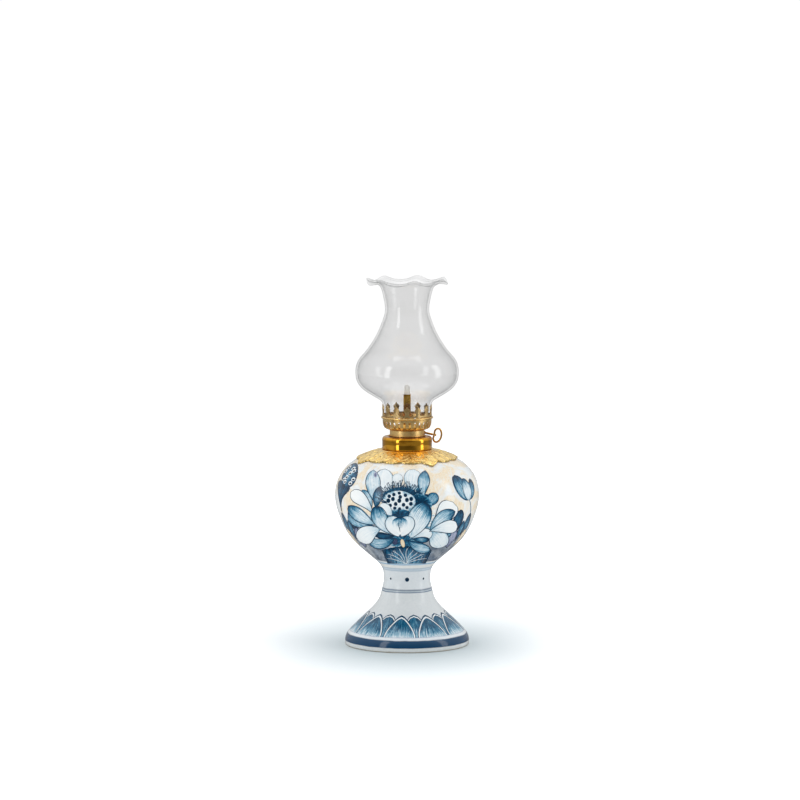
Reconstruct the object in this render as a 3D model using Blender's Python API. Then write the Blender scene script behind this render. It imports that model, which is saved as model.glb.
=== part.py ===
"""Porcelain oil lamp: a hollow pedestal font, a pierced brass leaf skirt, a cemented brass collar,
a screw-in burner with a wick raiser, and a ruffled glass chimney.

Units are metres, +Z is up, and the origin is the centre of the ring that the foot stands on.
The front of the lamp faces -Y and the wick key points along +X.
Turned pieces share the lamp's axis, and an outline is a list of (radius, height).
"""

import math

import bmesh
import bpy
from mathutils import Matrix, Vector

MM = 0.001

# Fits
GAP = 0.25 * MM  # between two pieces that touch or are soldered together
RUNNING = 0.12 * MM  # round a shaft that turns in a hole
TURN_STEPS = 32  # sides of a turned piece

# Porcelain pedestal and font
FOOT_RADIUS = 47.5 * MM
FOOT_EDGE_HEIGHT = 3.0 * MM
FOOT_RING_WIDTH = 4.5 * MM
WAIST_RADIUS = 17.6 * MM
WAIST_HEIGHT = 50.5 * MM
BELLY_RADIUS = 55.0 * MM
BELLY_HEIGHT = 115.2 * MM
SHOULDER_HEIGHT = 149.4 * MM
CLAY_WALL = 4.5 * MM
FONT_FLOOR = 6.0 * MM  # clay between the font and the hollow foot
NECK_WALL = 3.0 * MM
NECK_RISE = 6.0 * MM
# Each shape runs from 0 to 1 in (change of radius, change of height).
FOOT_SHAPE = ((0, 0), (0.067, 0.13), (0.467, 0.386), (0.87, 0.67), (1, 1))
BELLY_SHAPE = ((0, 0), (0.055, 0.15), (0.44, 0.357), (0.83, 0.64), (0.97, 0.86), (1, 1))
SHOULDER_SHAPE = ((0, 0), (0.05, 0.316), (0.262, 0.678), (0.575, 0.873), (1, 1))

# Pierced leaf skirt
SKIRT_SHEET = 0.6 * MM
SKIRT_CLEAR = 0.5 * MM  # between the sheet and the glaze under it
SKIRT_REACH = 20.3 * MM  # from the neck to the notches between the leaves
SKIRT_LEAF = 1.5 * MM  # how far a rounded leaf stands out past the notches
SKIRT_TIP = 5.1 * MM  # how far a pointed leaf stands out past the notches
SKIRT_REPEATS = 4
SKIRT_LEAVES = 4  # leaves in one repeat, the last of them pointed
SKIRT_COLUMNS = 16  # columns of the sheet in one repeat of the leaves
SKIRT_LIP = 1.0 * MM
SKIRT_TURN = math.radians(-51.45)  # of the first notch, from the front towards +X
PIERCING_RADIUS = 0.85 * MM

# Collar and its cement
COLLAR_CAVITY = 1.3 * MM  # room for cement between the neck and the collar's skirt
COLLAR_HEIGHT = 9.6 * MM
COLLAR_ROUND = 2.4 * MM
COLLAR_SHEET = 0.8 * MM
COLLAR_RECESS = 0.8 * MM  # depth of the seat that the burner's washer lies in
SLEEVE_CLEAR = 0.45 * MM  # between the threaded sleeve and the neck's bore

# Screw thread between burner and collar
THREAD_RADIUS = 11.6 * MM  # root of the male thread, which sets the band, collar and neck
THREAD_RISE = 0.8 * MM
THREAD_PITCH = 2.4 * MM
THREAD_CLEAR = 0.35 * MM
THREAD_ROOT = 1.1 * MM  # ridge width at its root
THREAD_CREST = 0.5 * MM  # ridge width at its crest
MALE_TURNS = 1.75
FEMALE_TURNS = 1.25

# Burner
WASHER_THICK = 0.5 * MM
BAND_OVERHANG = 1.7 * MM  # of the band past the thread's root
BAND_HEIGHT = 5.0 * MM
BURNER_SHEET = 0.55 * MM
SLEEVE_DROP = 7.4 * MM  # of the threaded sleeve below the band
DECK_RISE = 8.9 * MM
DECK_DOME = 4.6 * MM  # height of the dome's rounded part
VENT_REACH = 7.4 * MM  # from the lamp's axis to the hole that lets air into the font
VENT_RADIUS = 1.1 * MM
BASKET_HEIGHT = 9.2 * MM
BASKET_SLOTS = 28
SLOT_WIDTH = 1.9 * MM
SLOT_HEIGHT = 5.6 * MM
SLOT_MIDDLE = 3.9 * MM  # above the basket's lower edge
BOWL_HEIGHT = 7.0 * MM  # of the rounded part of the basket
BEAD_RADIUS = 0.75 * MM
BEAD_OVERHANG = 0.5 * MM  # of the basket's rolled bead past the crown
PRONGS = 14
PRONG_HEIGHT = 8.6 * MM
PRONG_WIDTH = 5.4 * MM
PRONG_SHEET = 0.45 * MM
LEDGE_WIDTH = 2.3 * MM
DECK_SHAPE = ((0, 0), (0.55, 0.11), (0.88, 0.52), (1, 1))
# Outline of the basket from the band out to its straight wall
BOWL_SHAPE = ((0, 0), (0.49, 0.085), (0.76, 0.23), (0.94, 0.6), (1, 1))
# Half width of a prong as a share of the widest, against height, from its root to its tip
PRONG_SHAPE = ((0, 1.0), (0.1, 0.86), (0.25, 0.64), (0.42, 0.66), (0.62, 0.92), (0.72, 0.84),
               (0.86, 0.38), (1, 0.08))

# Wick and wick raiser
WICK_WIDTH = 4.4 * MM
WICK_THICK = 2.4 * MM
WICK_STANDS_OUT = 7.5 * MM
WICK_TAIL_CLEAR = 12.0 * MM  # from the wick's lower end to the font's floor
TUBE_SHEET = 0.35 * MM
TUBE_STANDS_UP = 16.0 * MM  # from the chimney's seat to the top of the wick tube
TUBE_TAIL = 2.5 * MM
WHEEL_RADIUS = 2.6 * MM
WHEEL_THICK = 0.8 * MM
WHEEL_SPACING = 2.7 * MM
WHEEL_TEETH = 10
SPINDLE_RADIUS = 0.85 * MM
SPINDLE_TILT = math.radians(12)  # downwards towards the key
BUSH_WALL = 0.45 * MM
CAGE_SHEET = 0.5 * MM
KEY_CLEAR = 0.9 * MM  # between the key's loop and the collar
KEY_LENGTH = 7.9 * MM
KEY_HEIGHT = 12.0 * MM
KEY_WIRE = 0.75 * MM
KEY_DENT = 0.9 * MM
RIVET_RADIUS = 0.42 * MM

# Chimney
GLASS_WALL = 1.7 * MM
FITTER_RADIUS = 18.2 * MM  # of the glass, which sets the crown and the basket
FITTER_HEIGHT = 7.6 * MM
BULB_RADIUS = 39.3 * MM
BULB_RISE = 31.9 * MM  # from the chimney's seat to its widest
THROAT_RADIUS = 16.8 * MM
THROAT_RISE = 80.4 * MM
RIM_RADIUS = 30.2 * MM
RIM_RISE = 101.5 * MM
RUFFLES = 7
RUFFLE_HEIGHT = 1.7 * MM
RUFFLE_TURN = math.radians(10)  # of one crest, from the front towards +X
BULB_SHAPE = ((0, 0), (0.095, 0.165), (0.59, 0.42), (0.91, 0.72), (1, 1))
SLOPE_SHAPE = ((0, 0), (0.075, 0.175), (0.36, 0.37), (0.685, 0.58), (0.93, 0.83), (1, 1))
RIM_SHAPE = ((0, 0), (0.1, 0.45), (0.3, 0.78), (1, 1))


# ---------------------------------------------------------------- curves and outlines

def smooth(points, steps):
    """A Catmull-Rom curve through the points, with this many steps between each two."""
    ends = [points[0]] + list(points) + [points[-1]]
    curve = []
    for before, start, stop, after in zip(ends, ends[1:], ends[2:], ends[3:]):
        for step in range(steps):
            t = step / steps
            curve.append(tuple(
                0.5 * (2 * b + (c - a) * t + (2 * a - 5 * b + 4 * c - d) * t * t
                       + (3 * b - a - 3 * c + d) * t ** 3)
                for a, b, c, d in zip(before, start, stop, after)))
    curve.append(tuple(points[-1]))
    return curve


def stretched(shape, start, stop):
    """A 0 to 1 shape placed between two (radius, height) points."""
    return [(start[0] + (stop[0] - start[0]) * across, start[1] + (stop[1] - start[1]) * up)
            for across, up in shape]


def offset(points, distance):
    """The points moved to the left of their direction of travel."""
    moved = []
    for index, (radius, height) in enumerate(points):
        before = points[max(index - 1, 0)]
        after = points[min(index + 1, len(points) - 1)]
        run, rise = after[0] - before[0], after[1] - before[1]
        length = math.hypot(run, rise)
        moved.append((radius - distance * rise / length, height + distance * run / length))
    return moved


def height_at(points, radius):
    """Height of an outline, whose radius falls along it, at this radius."""
    for (wide, low), (narrow, high) in zip(points, points[1:]):
        if wide >= radius >= narrow:
            return low + (high - low) * (wide - radius) / max(wide - narrow, 1e-9)
    return points[-1][1]


# ---------------------------------------------------------------- objects and materials

def finish(name, colour, roughness, metallic=0.0, clear=0.0):
    """A Principled material."""
    material = bpy.data.materials.new(name)
    material.use_nodes = True
    shader = material.node_tree.nodes["Principled BSDF"]
    shader.inputs["Base Color"].default_value = (*colour, 1)
    shader.inputs["Roughness"].default_value = roughness
    shader.inputs["Metallic"].default_value = metallic
    shader.inputs["Transmission Weight"].default_value = clear
    return material


def placed(name, material, body, matrix=None):
    """A new object from a bmesh, with its normals out, shaded smooth, and placed by a matrix."""
    bmesh.ops.remove_doubles(body, verts=body.verts, dist=1e-7)
    bmesh.ops.recalc_face_normals(body, faces=body.faces)
    mesh = bpy.data.meshes.new(name)
    body.to_mesh(mesh)
    body.free()
    mesh.materials.append(material)
    mesh.shade_smooth()
    mesh.set_sharp_from_angle(angle=math.radians(35))
    thing = bpy.data.objects.new(name, mesh)
    bpy.context.scene.collection.objects.link(thing)
    if matrix:
        thing.matrix_world = matrix
    return thing


def spun(outline, steps, closed=True):
    """A bmesh made by turning an outline once round Z. An open outline ends on the axis."""
    body = bmesh.new()
    corners = [body.verts.new((radius, 0, height)) for radius, height in outline]
    pairs = list(zip(corners, corners[1:] + corners[:1]))
    edges = [body.edges.new(pair) for pair in (pairs if closed else pairs[:-1])]
    bmesh.ops.spin(body, geom=corners + edges, cent=(0, 0, 0), axis=(0, 0, 1), dvec=(0, 0, 0),
                   angle=math.tau, steps=steps, use_merge=True)
    bmesh.ops.remove_doubles(body, verts=body.verts, dist=1e-7)
    return body


def turned(name, material, outline, steps=TURN_STEPS, closed=True, matrix=None):
    return placed(name, material, spun(outline, steps, closed), matrix)


def rod_between(start, stop, radius, sides=20):
    """A bmesh rod from one point to another."""
    start, stop = Vector(start), Vector(stop)
    along = stop - start
    body = bmesh.new()
    place = Matrix.Translation((start + stop) / 2) @ along.to_track_quat("Z", "Y").to_matrix().to_4x4()
    bmesh.ops.create_cone(body, cap_ends=True, segments=sides, radius1=radius, radius2=radius,
                          depth=along.length, matrix=place)
    return body


def block(low, high):
    """A bmesh box between two corners."""
    low, high = Vector(low), Vector(high)
    body = bmesh.new()
    bmesh.ops.create_cube(body, size=1, matrix=Matrix.Translation((low + high) / 2)
                          @ Matrix.Diagonal((*(high - low), 1)))
    return body


def joined(bodies):
    """Several bmeshes as one."""
    whole = bmesh.new()
    for body in bodies:
        mesh = bpy.data.meshes.new("part")
        body.to_mesh(mesh)
        body.free()
        whole.from_mesh(mesh)
        bpy.data.meshes.remove(mesh)
    return whole


def combine(thing, body, operation="DIFFERENCE"):
    """Cuts a bmesh from an object, or joins it on, and leaves the tool as a hidden wire."""
    tool = placed(f"{thing.name}_{operation.lower()}", thing.data.materials[0], body)
    tool.hide_render = True
    tool.display_type = "WIRE"
    step = thing.modifiers.new(operation.lower(), "BOOLEAN")
    step.operation = operation
    step.object = tool


def ring_tool(count, make):
    """Copies of a bmesh, each turned to its own place round the lamp's axis."""
    copies = []
    for index in range(count):
        body = make()
        turn = Matrix.Rotation(math.tau * (index + 0.5) / count, 4, "Z")
        bmesh.ops.transform(body, matrix=turn, verts=body.verts)
        copies.append(body)
    return joined(copies)


def screw_ridge(root, crest, start, turns):
    """A bmesh ridge of trapezium section that climbs one pitch a turn from this height."""
    body = bmesh.new()
    count = round(turns * TURN_STEPS)
    sections = []
    for index in range(count + 1):
        turn = math.tau * index / TURN_STEPS
        middle = start + THREAD_PITCH * index / TURN_STEPS
        corners = ((root, -THREAD_ROOT / 2), (crest, -THREAD_CREST / 2),
                   (crest, THREAD_CREST / 2), (root, THREAD_ROOT / 2))
        sections.append([body.verts.new((radius * math.cos(turn), radius * math.sin(turn),
                                         middle + up)) for radius, up in corners])
    for one, two in zip(sections, sections[1:]):
        for corner in range(4):
            following = (corner + 1) % 4
            body.faces.new((one[corner], one[following], two[following], two[corner]))
    body.faces.new(sections[0])
    body.faces.new(sections[-1])
    return body


# ---------------------------------------------------------------- shared heights

FEMALE_WALL = THREAD_RADIUS + THREAD_RISE + THREAD_CLEAR
NECK_BORE = FEMALE_WALL + COLLAR_SHEET + SLEEVE_CLEAR
NECK_RADIUS = NECK_BORE + NECK_WALL
NECK_TOP = SHOULDER_HEIGHT + NECK_RISE
COLLAR_RADIUS = NECK_RADIUS + COLLAR_CAVITY + COLLAR_SHEET
KEY_REACH = COLLAR_RADIUS + KEY_CLEAR  # from the lamp's axis to the near side of the loop
FOOT_CURVE = smooth(stretched(FOOT_SHAPE, (FOOT_RADIUS, FOOT_EDGE_HEIGHT),
                              (WAIST_RADIUS, WAIST_HEIGHT)), 2)
BELLY_CURVE = smooth(stretched(BELLY_SHAPE, (WAIST_RADIUS, WAIST_HEIGHT),
                               (BELLY_RADIUS, BELLY_HEIGHT)), 2)
SHOULDER_CURVE = smooth(stretched(SHOULDER_SHAPE, (BELLY_RADIUS, BELLY_HEIGHT),
                                  (NECK_RADIUS, SHOULDER_HEIGHT)), 2)

COLLAR_BOTTOM = SHOULDER_HEIGHT + SKIRT_LIP
COLLAR_TOP = COLLAR_BOTTOM + COLLAR_HEIGHT
COLLAR_SEAT = COLLAR_TOP - COLLAR_RECESS
FEMALE_START = COLLAR_SEAT - FEMALE_TURNS * THREAD_PITCH - THREAD_ROOT / 2 - GAP
MALE_START = FEMALE_START - THREAD_PITCH / 2
SLEEVE_BOTTOM = FEMALE_START - THREAD_ROOT / 2 - GAP
WASHER_BOTTOM = COLLAR_SEAT + GAP / 2
BAND_BOTTOM = WASHER_BOTTOM + WASHER_THICK + GAP / 2
BAND_TOP = BAND_BOTTOM + BAND_HEIGHT
BAND_RADIUS = THREAD_RADIUS + BAND_OVERHANG
WASHER_RADIUS = BAND_RADIUS + 0.6 * MM
COLLAR_SEAT_RADIUS = WASHER_RADIUS + 0.7 * MM
BAND_BORE = BAND_RADIUS - BURNER_SHEET
BUSH_RADIUS = SPINDLE_RADIUS + RUNNING + BUSH_WALL
WHEEL_BACK = WICK_THICK / 2 + GAP + WHEEL_RADIUS  # from the wick's middle plane to the spindle
SPINDLE_EXIT = BAND_BOTTOM + BURNER_SHEET + BUSH_RADIUS + GAP
SPINDLE_DROP = math.sqrt(BAND_RADIUS ** 2 - WHEEL_BACK ** 2) * math.tan(SPINDLE_TILT)
WHEEL_CENTRE = Vector((0, WHEEL_BACK, SPINDLE_EXIT + SPINDLE_DROP))
SPINDLE_WAY = Vector((math.cos(SPINDLE_TILT), 0, -math.sin(SPINDLE_TILT)))
CROWN_RADIUS = FITTER_RADIUS + GAP + PRONG_SHEET
BASKET_RADIUS = CROWN_RADIUS + BEAD_OVERHANG
BASKET_BOTTOM = BAND_TOP + GAP
BASKET_TOP = BASKET_BOTTOM + BASKET_HEIGHT
BASKET_SLEEVE = BAND_BORE - GAP
DECK_RADIUS = BASKET_SLEEVE - BURNER_SHEET - GAP
DECK_BOTTOM = BAND_BOTTOM + BURNER_SHEET + GAP
CHIMNEY_SEAT = BASKET_TOP + BEAD_RADIUS + PRONG_SHEET + GAP
TUBE_BOTTOM = BAND_BOTTOM - TUBE_TAIL
TUBE_TOP = CHIMNEY_SEAT + TUBE_STANDS_UP
WICK_TOP = TUBE_TOP + WICK_STANDS_OUT
TUBE_WIDTH = WICK_WIDTH + 2 * (GAP + TUBE_SHEET)
TUBE_THICK = WICK_THICK + 2 * (GAP + TUBE_SHEET)


def on_spindle(reach):
    """The point on the spindle's axis that is this far out from the lamp's axis."""
    return WHEEL_CENTRE + SPINDLE_WAY * (reach / math.cos(SPINDLE_TILT))


def through_wall(radius):
    """How far out along +X the spindle meets a turned wall of this radius."""
    return math.sqrt(radius ** 2 - WHEEL_BACK ** 2)


def spindle_frame(origin):
    """A matrix whose local Z runs along the spindle, outwards, and whose X points up."""
    across = Vector((0, 1, 0))
    up = across.cross(SPINDLE_WAY) * -1
    turn = Matrix((up, SPINDLE_WAY.cross(up), SPINDLE_WAY)).transposed().to_4x4()
    return Matrix.Translation(origin) @ turn


# ---------------------------------------------------------------- lamp base

def ceramic_body(glaze):
    """Font and foot as one fired piece: the font opens at its mouth, the foot opens below."""
    outer = FOOT_CURVE + BELLY_CURVE[1:] + SHOULDER_CURVE[1:] + [(NECK_RADIUS, NECK_TOP)]
    floor = WAIST_HEIGHT + FONT_FLOOR
    cavity = [(NECK_BORE, NECK_TOP), (NECK_BORE, SHOULDER_HEIGHT - CLAY_WALL)]
    hollow = offset(SHOULDER_CURVE[::-1] + BELLY_CURVE[-2::-1], -CLAY_WALL)
    cavity += [point for point in hollow if point[0] > NECK_BORE + GAP and point[1] > floor + 3 * MM]
    cavity += [(cavity[-1][0] * 0.72, floor + 0.6 * MM), (0, floor)]
    under = [point for point in offset(FOOT_CURVE[1:], CLAY_WALL)[::-1]
             if point[1] > FOOT_EDGE_HEIGHT * 2]
    stand = FOOT_RADIUS - FOOT_RING_WIDTH
    base = [(0, WAIST_HEIGHT - FONT_FLOOR), (under[0][0] * 0.7, WAIST_HEIGHT - FONT_FLOOR)]
    base += under[1:]
    base += [(stand - 2 * MM, 0), (FOOT_RADIUS - 2 * MM, 0)]
    return turned("ceramic_body", glaze, cavity[::-1][:-1] + outer[::-1] + base[::-1],
                  closed=False)


def skirt_edge(turn):
    """How far the skirt reaches from the neck: a repeat's rounded leaves, then its pointed one."""
    place = (turn / math.tau * SKIRT_REPEATS * SKIRT_LEAVES) % SKIRT_LEAVES
    share = place % 1
    if place < SKIRT_LEAVES - 1:
        return SKIRT_REACH + SKIRT_LEAF * math.sin(math.pi * share) ** 0.6
    return SKIRT_REACH + SKIRT_TIP * (1 - abs(2 * share - 1)) ** 0.9


def leaf_skirt(gilt):
    """A pressed sheet that lies on the shoulder, with a raised lip round the neck."""
    under = offset(SHOULDER_CURVE, -SKIRT_CLEAR)
    over = offset(SHOULDER_CURVE, -SKIRT_CLEAR - SKIRT_SHEET)
    inner = NECK_RADIUS + GAP
    lip = inner + 1.1 * MM
    top = COLLAR_BOTTOM - GAP
    stations = (0.35, 0.6, 0.8, 1)
    body = bmesh.new()
    columns = []
    for index in range(SKIRT_REPEATS * SKIRT_COLUMNS):
        turn = math.tau * index / (SKIRT_REPEATS * SKIRT_COLUMNS)
        edge = NECK_RADIUS + skirt_edge(turn)
        reach = [lip + (edge - lip) * share for share in stations]
        section = [(inner, height_at(under, inner)), (inner, top), (lip - 0.3 * MM, top),
                   (lip, top - 0.4 * MM), (lip + 0.2 * MM, height_at(over, lip + 0.2 * MM))]
        section += [(radius, height_at(over, radius)) for radius in reach]
        section += [(radius, height_at(under, radius)) for radius in reach[::-1]]
        angle = turn + SKIRT_TURN - math.pi / 2
        columns.append([body.verts.new((radius * math.cos(angle), radius * math.sin(angle), height))
                        for radius, height in section])
    for one, two in zip(columns, columns[1:] + columns[:1]):
        for corner in range(len(one)):
            following = (corner + 1) % len(one)
            body.faces.new((one[corner], one[following], two[following], two[corner]))
    skirt = placed("leaf_skirt", gilt, body)
    middle = NECK_RADIUS + SKIRT_REACH * 0.72
    holes = []
    leaves = SKIRT_REPEATS * SKIRT_LEAVES
    for index in range(leaves):
        angle = math.tau * (index + 0.5) / leaves + SKIRT_TURN - math.pi / 2
        across, along = middle * math.cos(angle), middle * math.sin(angle)
        low, high = BELLY_HEIGHT, COLLAR_TOP
        holes.append(rod_between((across, along, low), (across, along, high), PIERCING_RADIUS, 8))
    combine(skirt, joined(holes))
    return skirt


def collar_cement(plaster):
    """The plaster between the collar's skirt, its sleeve and the neck."""
    outer = COLLAR_RADIUS - COLLAR_SHEET - GAP
    inner = FEMALE_WALL + COLLAR_SHEET + GAP
    low, top = COLLAR_BOTTOM + 2 * GAP, COLLAR_SEAT - COLLAR_SHEET - GAP
    outline = [(NECK_RADIUS + GAP, low), (outer, low), (outer, top - (COLLAR_ROUND - COLLAR_SHEET)),
               (outer - (COLLAR_ROUND - COLLAR_SHEET), top), (inner, top),
               (inner, NECK_TOP + GAP), (NECK_RADIUS + GAP, NECK_TOP + GAP)]
    return turned("collar_cement", plaster, outline)


def collar(brass):
    """Spun brass that covers the neck's lip, with a seat for the washer and a threaded sleeve."""
    def corner(radius, top, bend):
        return [(radius - bend * (1 - math.cos(math.radians(turn))),
                 top - bend * (1 - math.sin(math.radians(turn)))) for turn in (0, 30, 60, 90)]

    inside = COLLAR_RADIUS - COLLAR_SHEET
    sleeve = FEMALE_WALL + COLLAR_SHEET
    outline = [(COLLAR_RADIUS, COLLAR_BOTTOM), *corner(COLLAR_RADIUS, COLLAR_TOP, COLLAR_ROUND),
               (COLLAR_SEAT_RADIUS + COLLAR_RECESS / 2, COLLAR_TOP),
               (COLLAR_SEAT_RADIUS, COLLAR_SEAT), (FEMALE_WALL, COLLAR_SEAT),
               (FEMALE_WALL, SLEEVE_BOTTOM), (sleeve, SLEEVE_BOTTOM),
               (sleeve, COLLAR_SEAT - COLLAR_SHEET),
               (COLLAR_SEAT_RADIUS + COLLAR_SHEET, COLLAR_SEAT - COLLAR_SHEET),
               *corner(inside, COLLAR_TOP - COLLAR_SHEET, COLLAR_ROUND - COLLAR_SHEET)[::-1],
               (inside, COLLAR_BOTTOM)]
    piece = turned("collar", brass, outline)
    ridge = screw_ridge(FEMALE_WALL + COLLAR_SHEET / 2, THREAD_RADIUS + THREAD_CLEAR,
                        FEMALE_START, FEMALE_TURNS)
    combine(piece, ridge, "UNION")
    return piece


# ---------------------------------------------------------------- burner

def sealing_washer(fibre):
    inner = THREAD_RADIUS + THREAD_RISE + GAP
    outline = [(inner, WASHER_BOTTOM), (WASHER_RADIUS, WASHER_BOTTOM),
               (WASHER_RADIUS, WASHER_BOTTOM + WASHER_THICK), (inner, WASHER_BOTTOM + WASHER_THICK)]
    return turned("sealing_washer", fibre, outline)


def spindle_hole(inner, outer, radius):
    """A cutter along the spindle, through the turned wall between these radii."""
    return rod_between(on_spindle(through_wall(inner) - 1.2 * MM),
                       on_spindle(through_wall(outer) + 1.2 * MM), radius)


def burner_cup(satin):
    """The plain band, its flange, and the threaded sleeve that screws into the collar."""
    low = BAND_BOTTOM - SLEEVE_DROP
    floor = BAND_BOTTOM + BURNER_SHEET
    sleeve = THREAD_RADIUS - BURNER_SHEET
    outline = [(sleeve, low), (THREAD_RADIUS, low), (THREAD_RADIUS, BAND_BOTTOM),
               (BAND_RADIUS, BAND_BOTTOM), (BAND_RADIUS, BAND_TOP), (BAND_BORE, BAND_TOP),
               (BAND_BORE, floor), (sleeve, floor)]
    cup = turned("burner_cup", satin, outline)
    ridge = screw_ridge(THREAD_RADIUS - BURNER_SHEET / 2, THREAD_RADIUS + THREAD_RISE,
                        MALE_START, MALE_TURNS)
    combine(cup, ridge, "UNION")
    combine(cup, spindle_hole(BAND_BORE, BAND_RADIUS, BUSH_RADIUS + GAP))
    return cup


def burner_deck(brass):
    """The domed plate under the basket that the wick tube passes through."""
    low, top = DECK_BOTTOM, DECK_BOTTOM + DECK_RISE
    wall = BURNER_SHEET
    dome = stretched(DECK_SHAPE, (0, top), (DECK_RADIUS, top - DECK_DOME))
    under = [(radius * (1 - wall / DECK_RADIUS), height - wall) for radius, height in dome]
    outline = dome + [(DECK_RADIUS, low), (DECK_RADIUS - wall, low)] + under[::-1]
    deck = turned("burner_deck", brass, outline, closed=False)
    wide, thick = TUBE_WIDTH / 2 + GAP, TUBE_THICK / 2 + GAP
    combine(deck, block((-wide, -thick, low), (wide, thick, top + 1 * MM)))
    hole = spindle_hole(DECK_RADIUS - wall, DECK_RADIUS, SPINDLE_RADIUS + GAP)
    vent = rod_between((-VENT_REACH, 0, low), (-VENT_REACH, 0, top + 1 * MM), VENT_RADIUS, 12)
    combine(deck, joined([hole, vent]))
    return deck


def wick_tube(brass):
    """A flat tube for the wick, with a window behind for the toothed wheels."""
    tube = placed("wick_tube", brass, block((-TUBE_WIDTH / 2, -TUBE_THICK / 2, TUBE_BOTTOM),
                                            (TUBE_WIDTH / 2, TUBE_THICK / 2, TUBE_TOP)))
    edge = tube.modifiers.new("rounding", "BEVEL")
    edge.width = 1.1 * MM
    edge.segments = 3
    only_upright(tube, edge)
    wide, thick = WICK_WIDTH / 2 + GAP, WICK_THICK / 2 + GAP
    bore = block((-wide, -thick, TUBE_BOTTOM - 1 * MM), (wide, thick, TUBE_TOP + 1 * MM))
    combine(tube, bore)
    half = WHEEL_SPACING / 2 + WHEEL_THICK / 2 + GAP
    tall = WHEEL_RADIUS
    window = block((-half, 0, WHEEL_CENTRE.z - tall), (half, TUBE_THICK, WHEEL_CENTRE.z + tall))
    combine(tube, window)
    return tube


def only_upright(thing, bevel):
    """Limits an object's bevel to its upright edges, through bevel weights."""
    mesh = thing.data
    weights = mesh.attributes.new("bevel_weight_edge", "FLOAT", "EDGE")
    for edge in mesh.edges:
        start, stop = (mesh.vertices[index].co for index in edge.vertices)
        upright = abs(start.z - stop.z) > 0.5 * (start - stop).length
        weights.data[edge.index].value = 1.0 if upright else 0.0
    bevel.limit_method = "WEIGHT"


def wheel_cage(brass):
    """A bent bracket on the back of the tube that carries the spindle on both sides."""
    near = TUBE_THICK / 2 + GAP
    far = WHEEL_CENTRE.y + WHEEL_RADIUS + 2 * GAP + CAGE_SHEET
    half = WHEEL_SPACING / 2 + WHEEL_THICK + 0.9 * MM
    low, high = WHEEL_CENTRE.z - 2.4 * MM, WHEEL_CENTRE.z + 2.1 * MM
    outside = half + CAGE_SHEET
    cage = placed("wheel_cage", brass, block((-outside, near, low), (outside, far, high)))
    room = block((-half, near - 1 * MM, low - 1 * MM), (half, far - CAGE_SHEET, high + 1 * MM))
    combine(cage, room)
    combine(cage, rod_between(on_spindle(-outside - 1 * MM), on_spindle(outside + 1 * MM),
                              SPINDLE_RADIUS + RUNNING))
    return cage


def wick_spindle(brass):
    """The rod that carries the wheels. Its riveted tip holds the key."""
    inner = -(WHEEL_SPACING / 2 + WHEEL_THICK + 0.9 * MM + CAGE_SHEET + 0.7 * MM)
    shoulder = on_spindle(KEY_REACH - GAP)
    rod = rod_between(on_spindle(inner), shoulder, SPINDLE_RADIUS)
    frame = spindle_frame(WHEEL_CENTRE)
    spindle = placed("wick_spindle", brass, local_to(rod, frame), frame)
    boss = 2 * KEY_WIRE + GAP
    tip = rod_between(on_spindle(KEY_REACH - 1 * MM), on_spindle(KEY_REACH + boss + 0.5 * MM),
                      RIVET_RADIUS, 12)
    combine(spindle, tip, "UNION")
    head = rod_between(on_spindle(KEY_REACH + boss), on_spindle(KEY_REACH + boss + 0.6 * MM),
                       RIVET_RADIUS * 1.9, 12)
    combine(spindle, head, "UNION")
    return spindle


def local_to(body, frame):
    """A bmesh in the coordinates of a frame."""
    bmesh.ops.transform(body, matrix=frame.inverted(), verts=body.verts)
    return body


def wick_wheel(number, steel):
    """A toothed wheel on the spindle that lifts the wick."""
    shift = (-1, 1)[number - 1] * WHEEL_SPACING / 2
    body = bmesh.new()
    rings = []
    for side in (-WHEEL_THICK / 2, WHEEL_THICK / 2):
        ring = []
        for index in range(WHEEL_TEETH * 2):
            radius = WHEEL_RADIUS * (1, 0.74)[index % 2]
            turn = math.tau * index / (WHEEL_TEETH * 2)
            ring.append(body.verts.new((radius * math.cos(turn), radius * math.sin(turn), side)))
        rings.append(ring)
    low, high = rings
    for index in range(len(low)):
        following = (index + 1) % len(low)
        body.faces.new((low[index], low[following], high[following], high[index]))
    body.faces.new(low)
    body.faces.new(high)
    wheel = placed(f"wick_wheel_{number}", steel, body, spindle_frame(on_spindle(shift)))
    bore = rod_between(on_spindle(shift - 2 * MM), on_spindle(shift + 2 * MM),
                       SPINDLE_RADIUS + RUNNING, 16)
    combine(wheel, bore)
    return wheel


def spindle_bushing(brass):
    """A short collar in the band's side that the spindle turns in."""
    start = on_spindle(through_wall(DECK_RADIUS) + 2 * GAP)
    stop = on_spindle(through_wall(BAND_RADIUS) + 1.1 * MM)
    bushing = placed("spindle_bushing", brass, rod_between(start, stop, BUSH_RADIUS))
    combine(bushing, spindle_hole(DECK_RADIUS, BAND_RADIUS + 1 * MM, SPINDLE_RADIUS + RUNNING))
    return bushing


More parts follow.
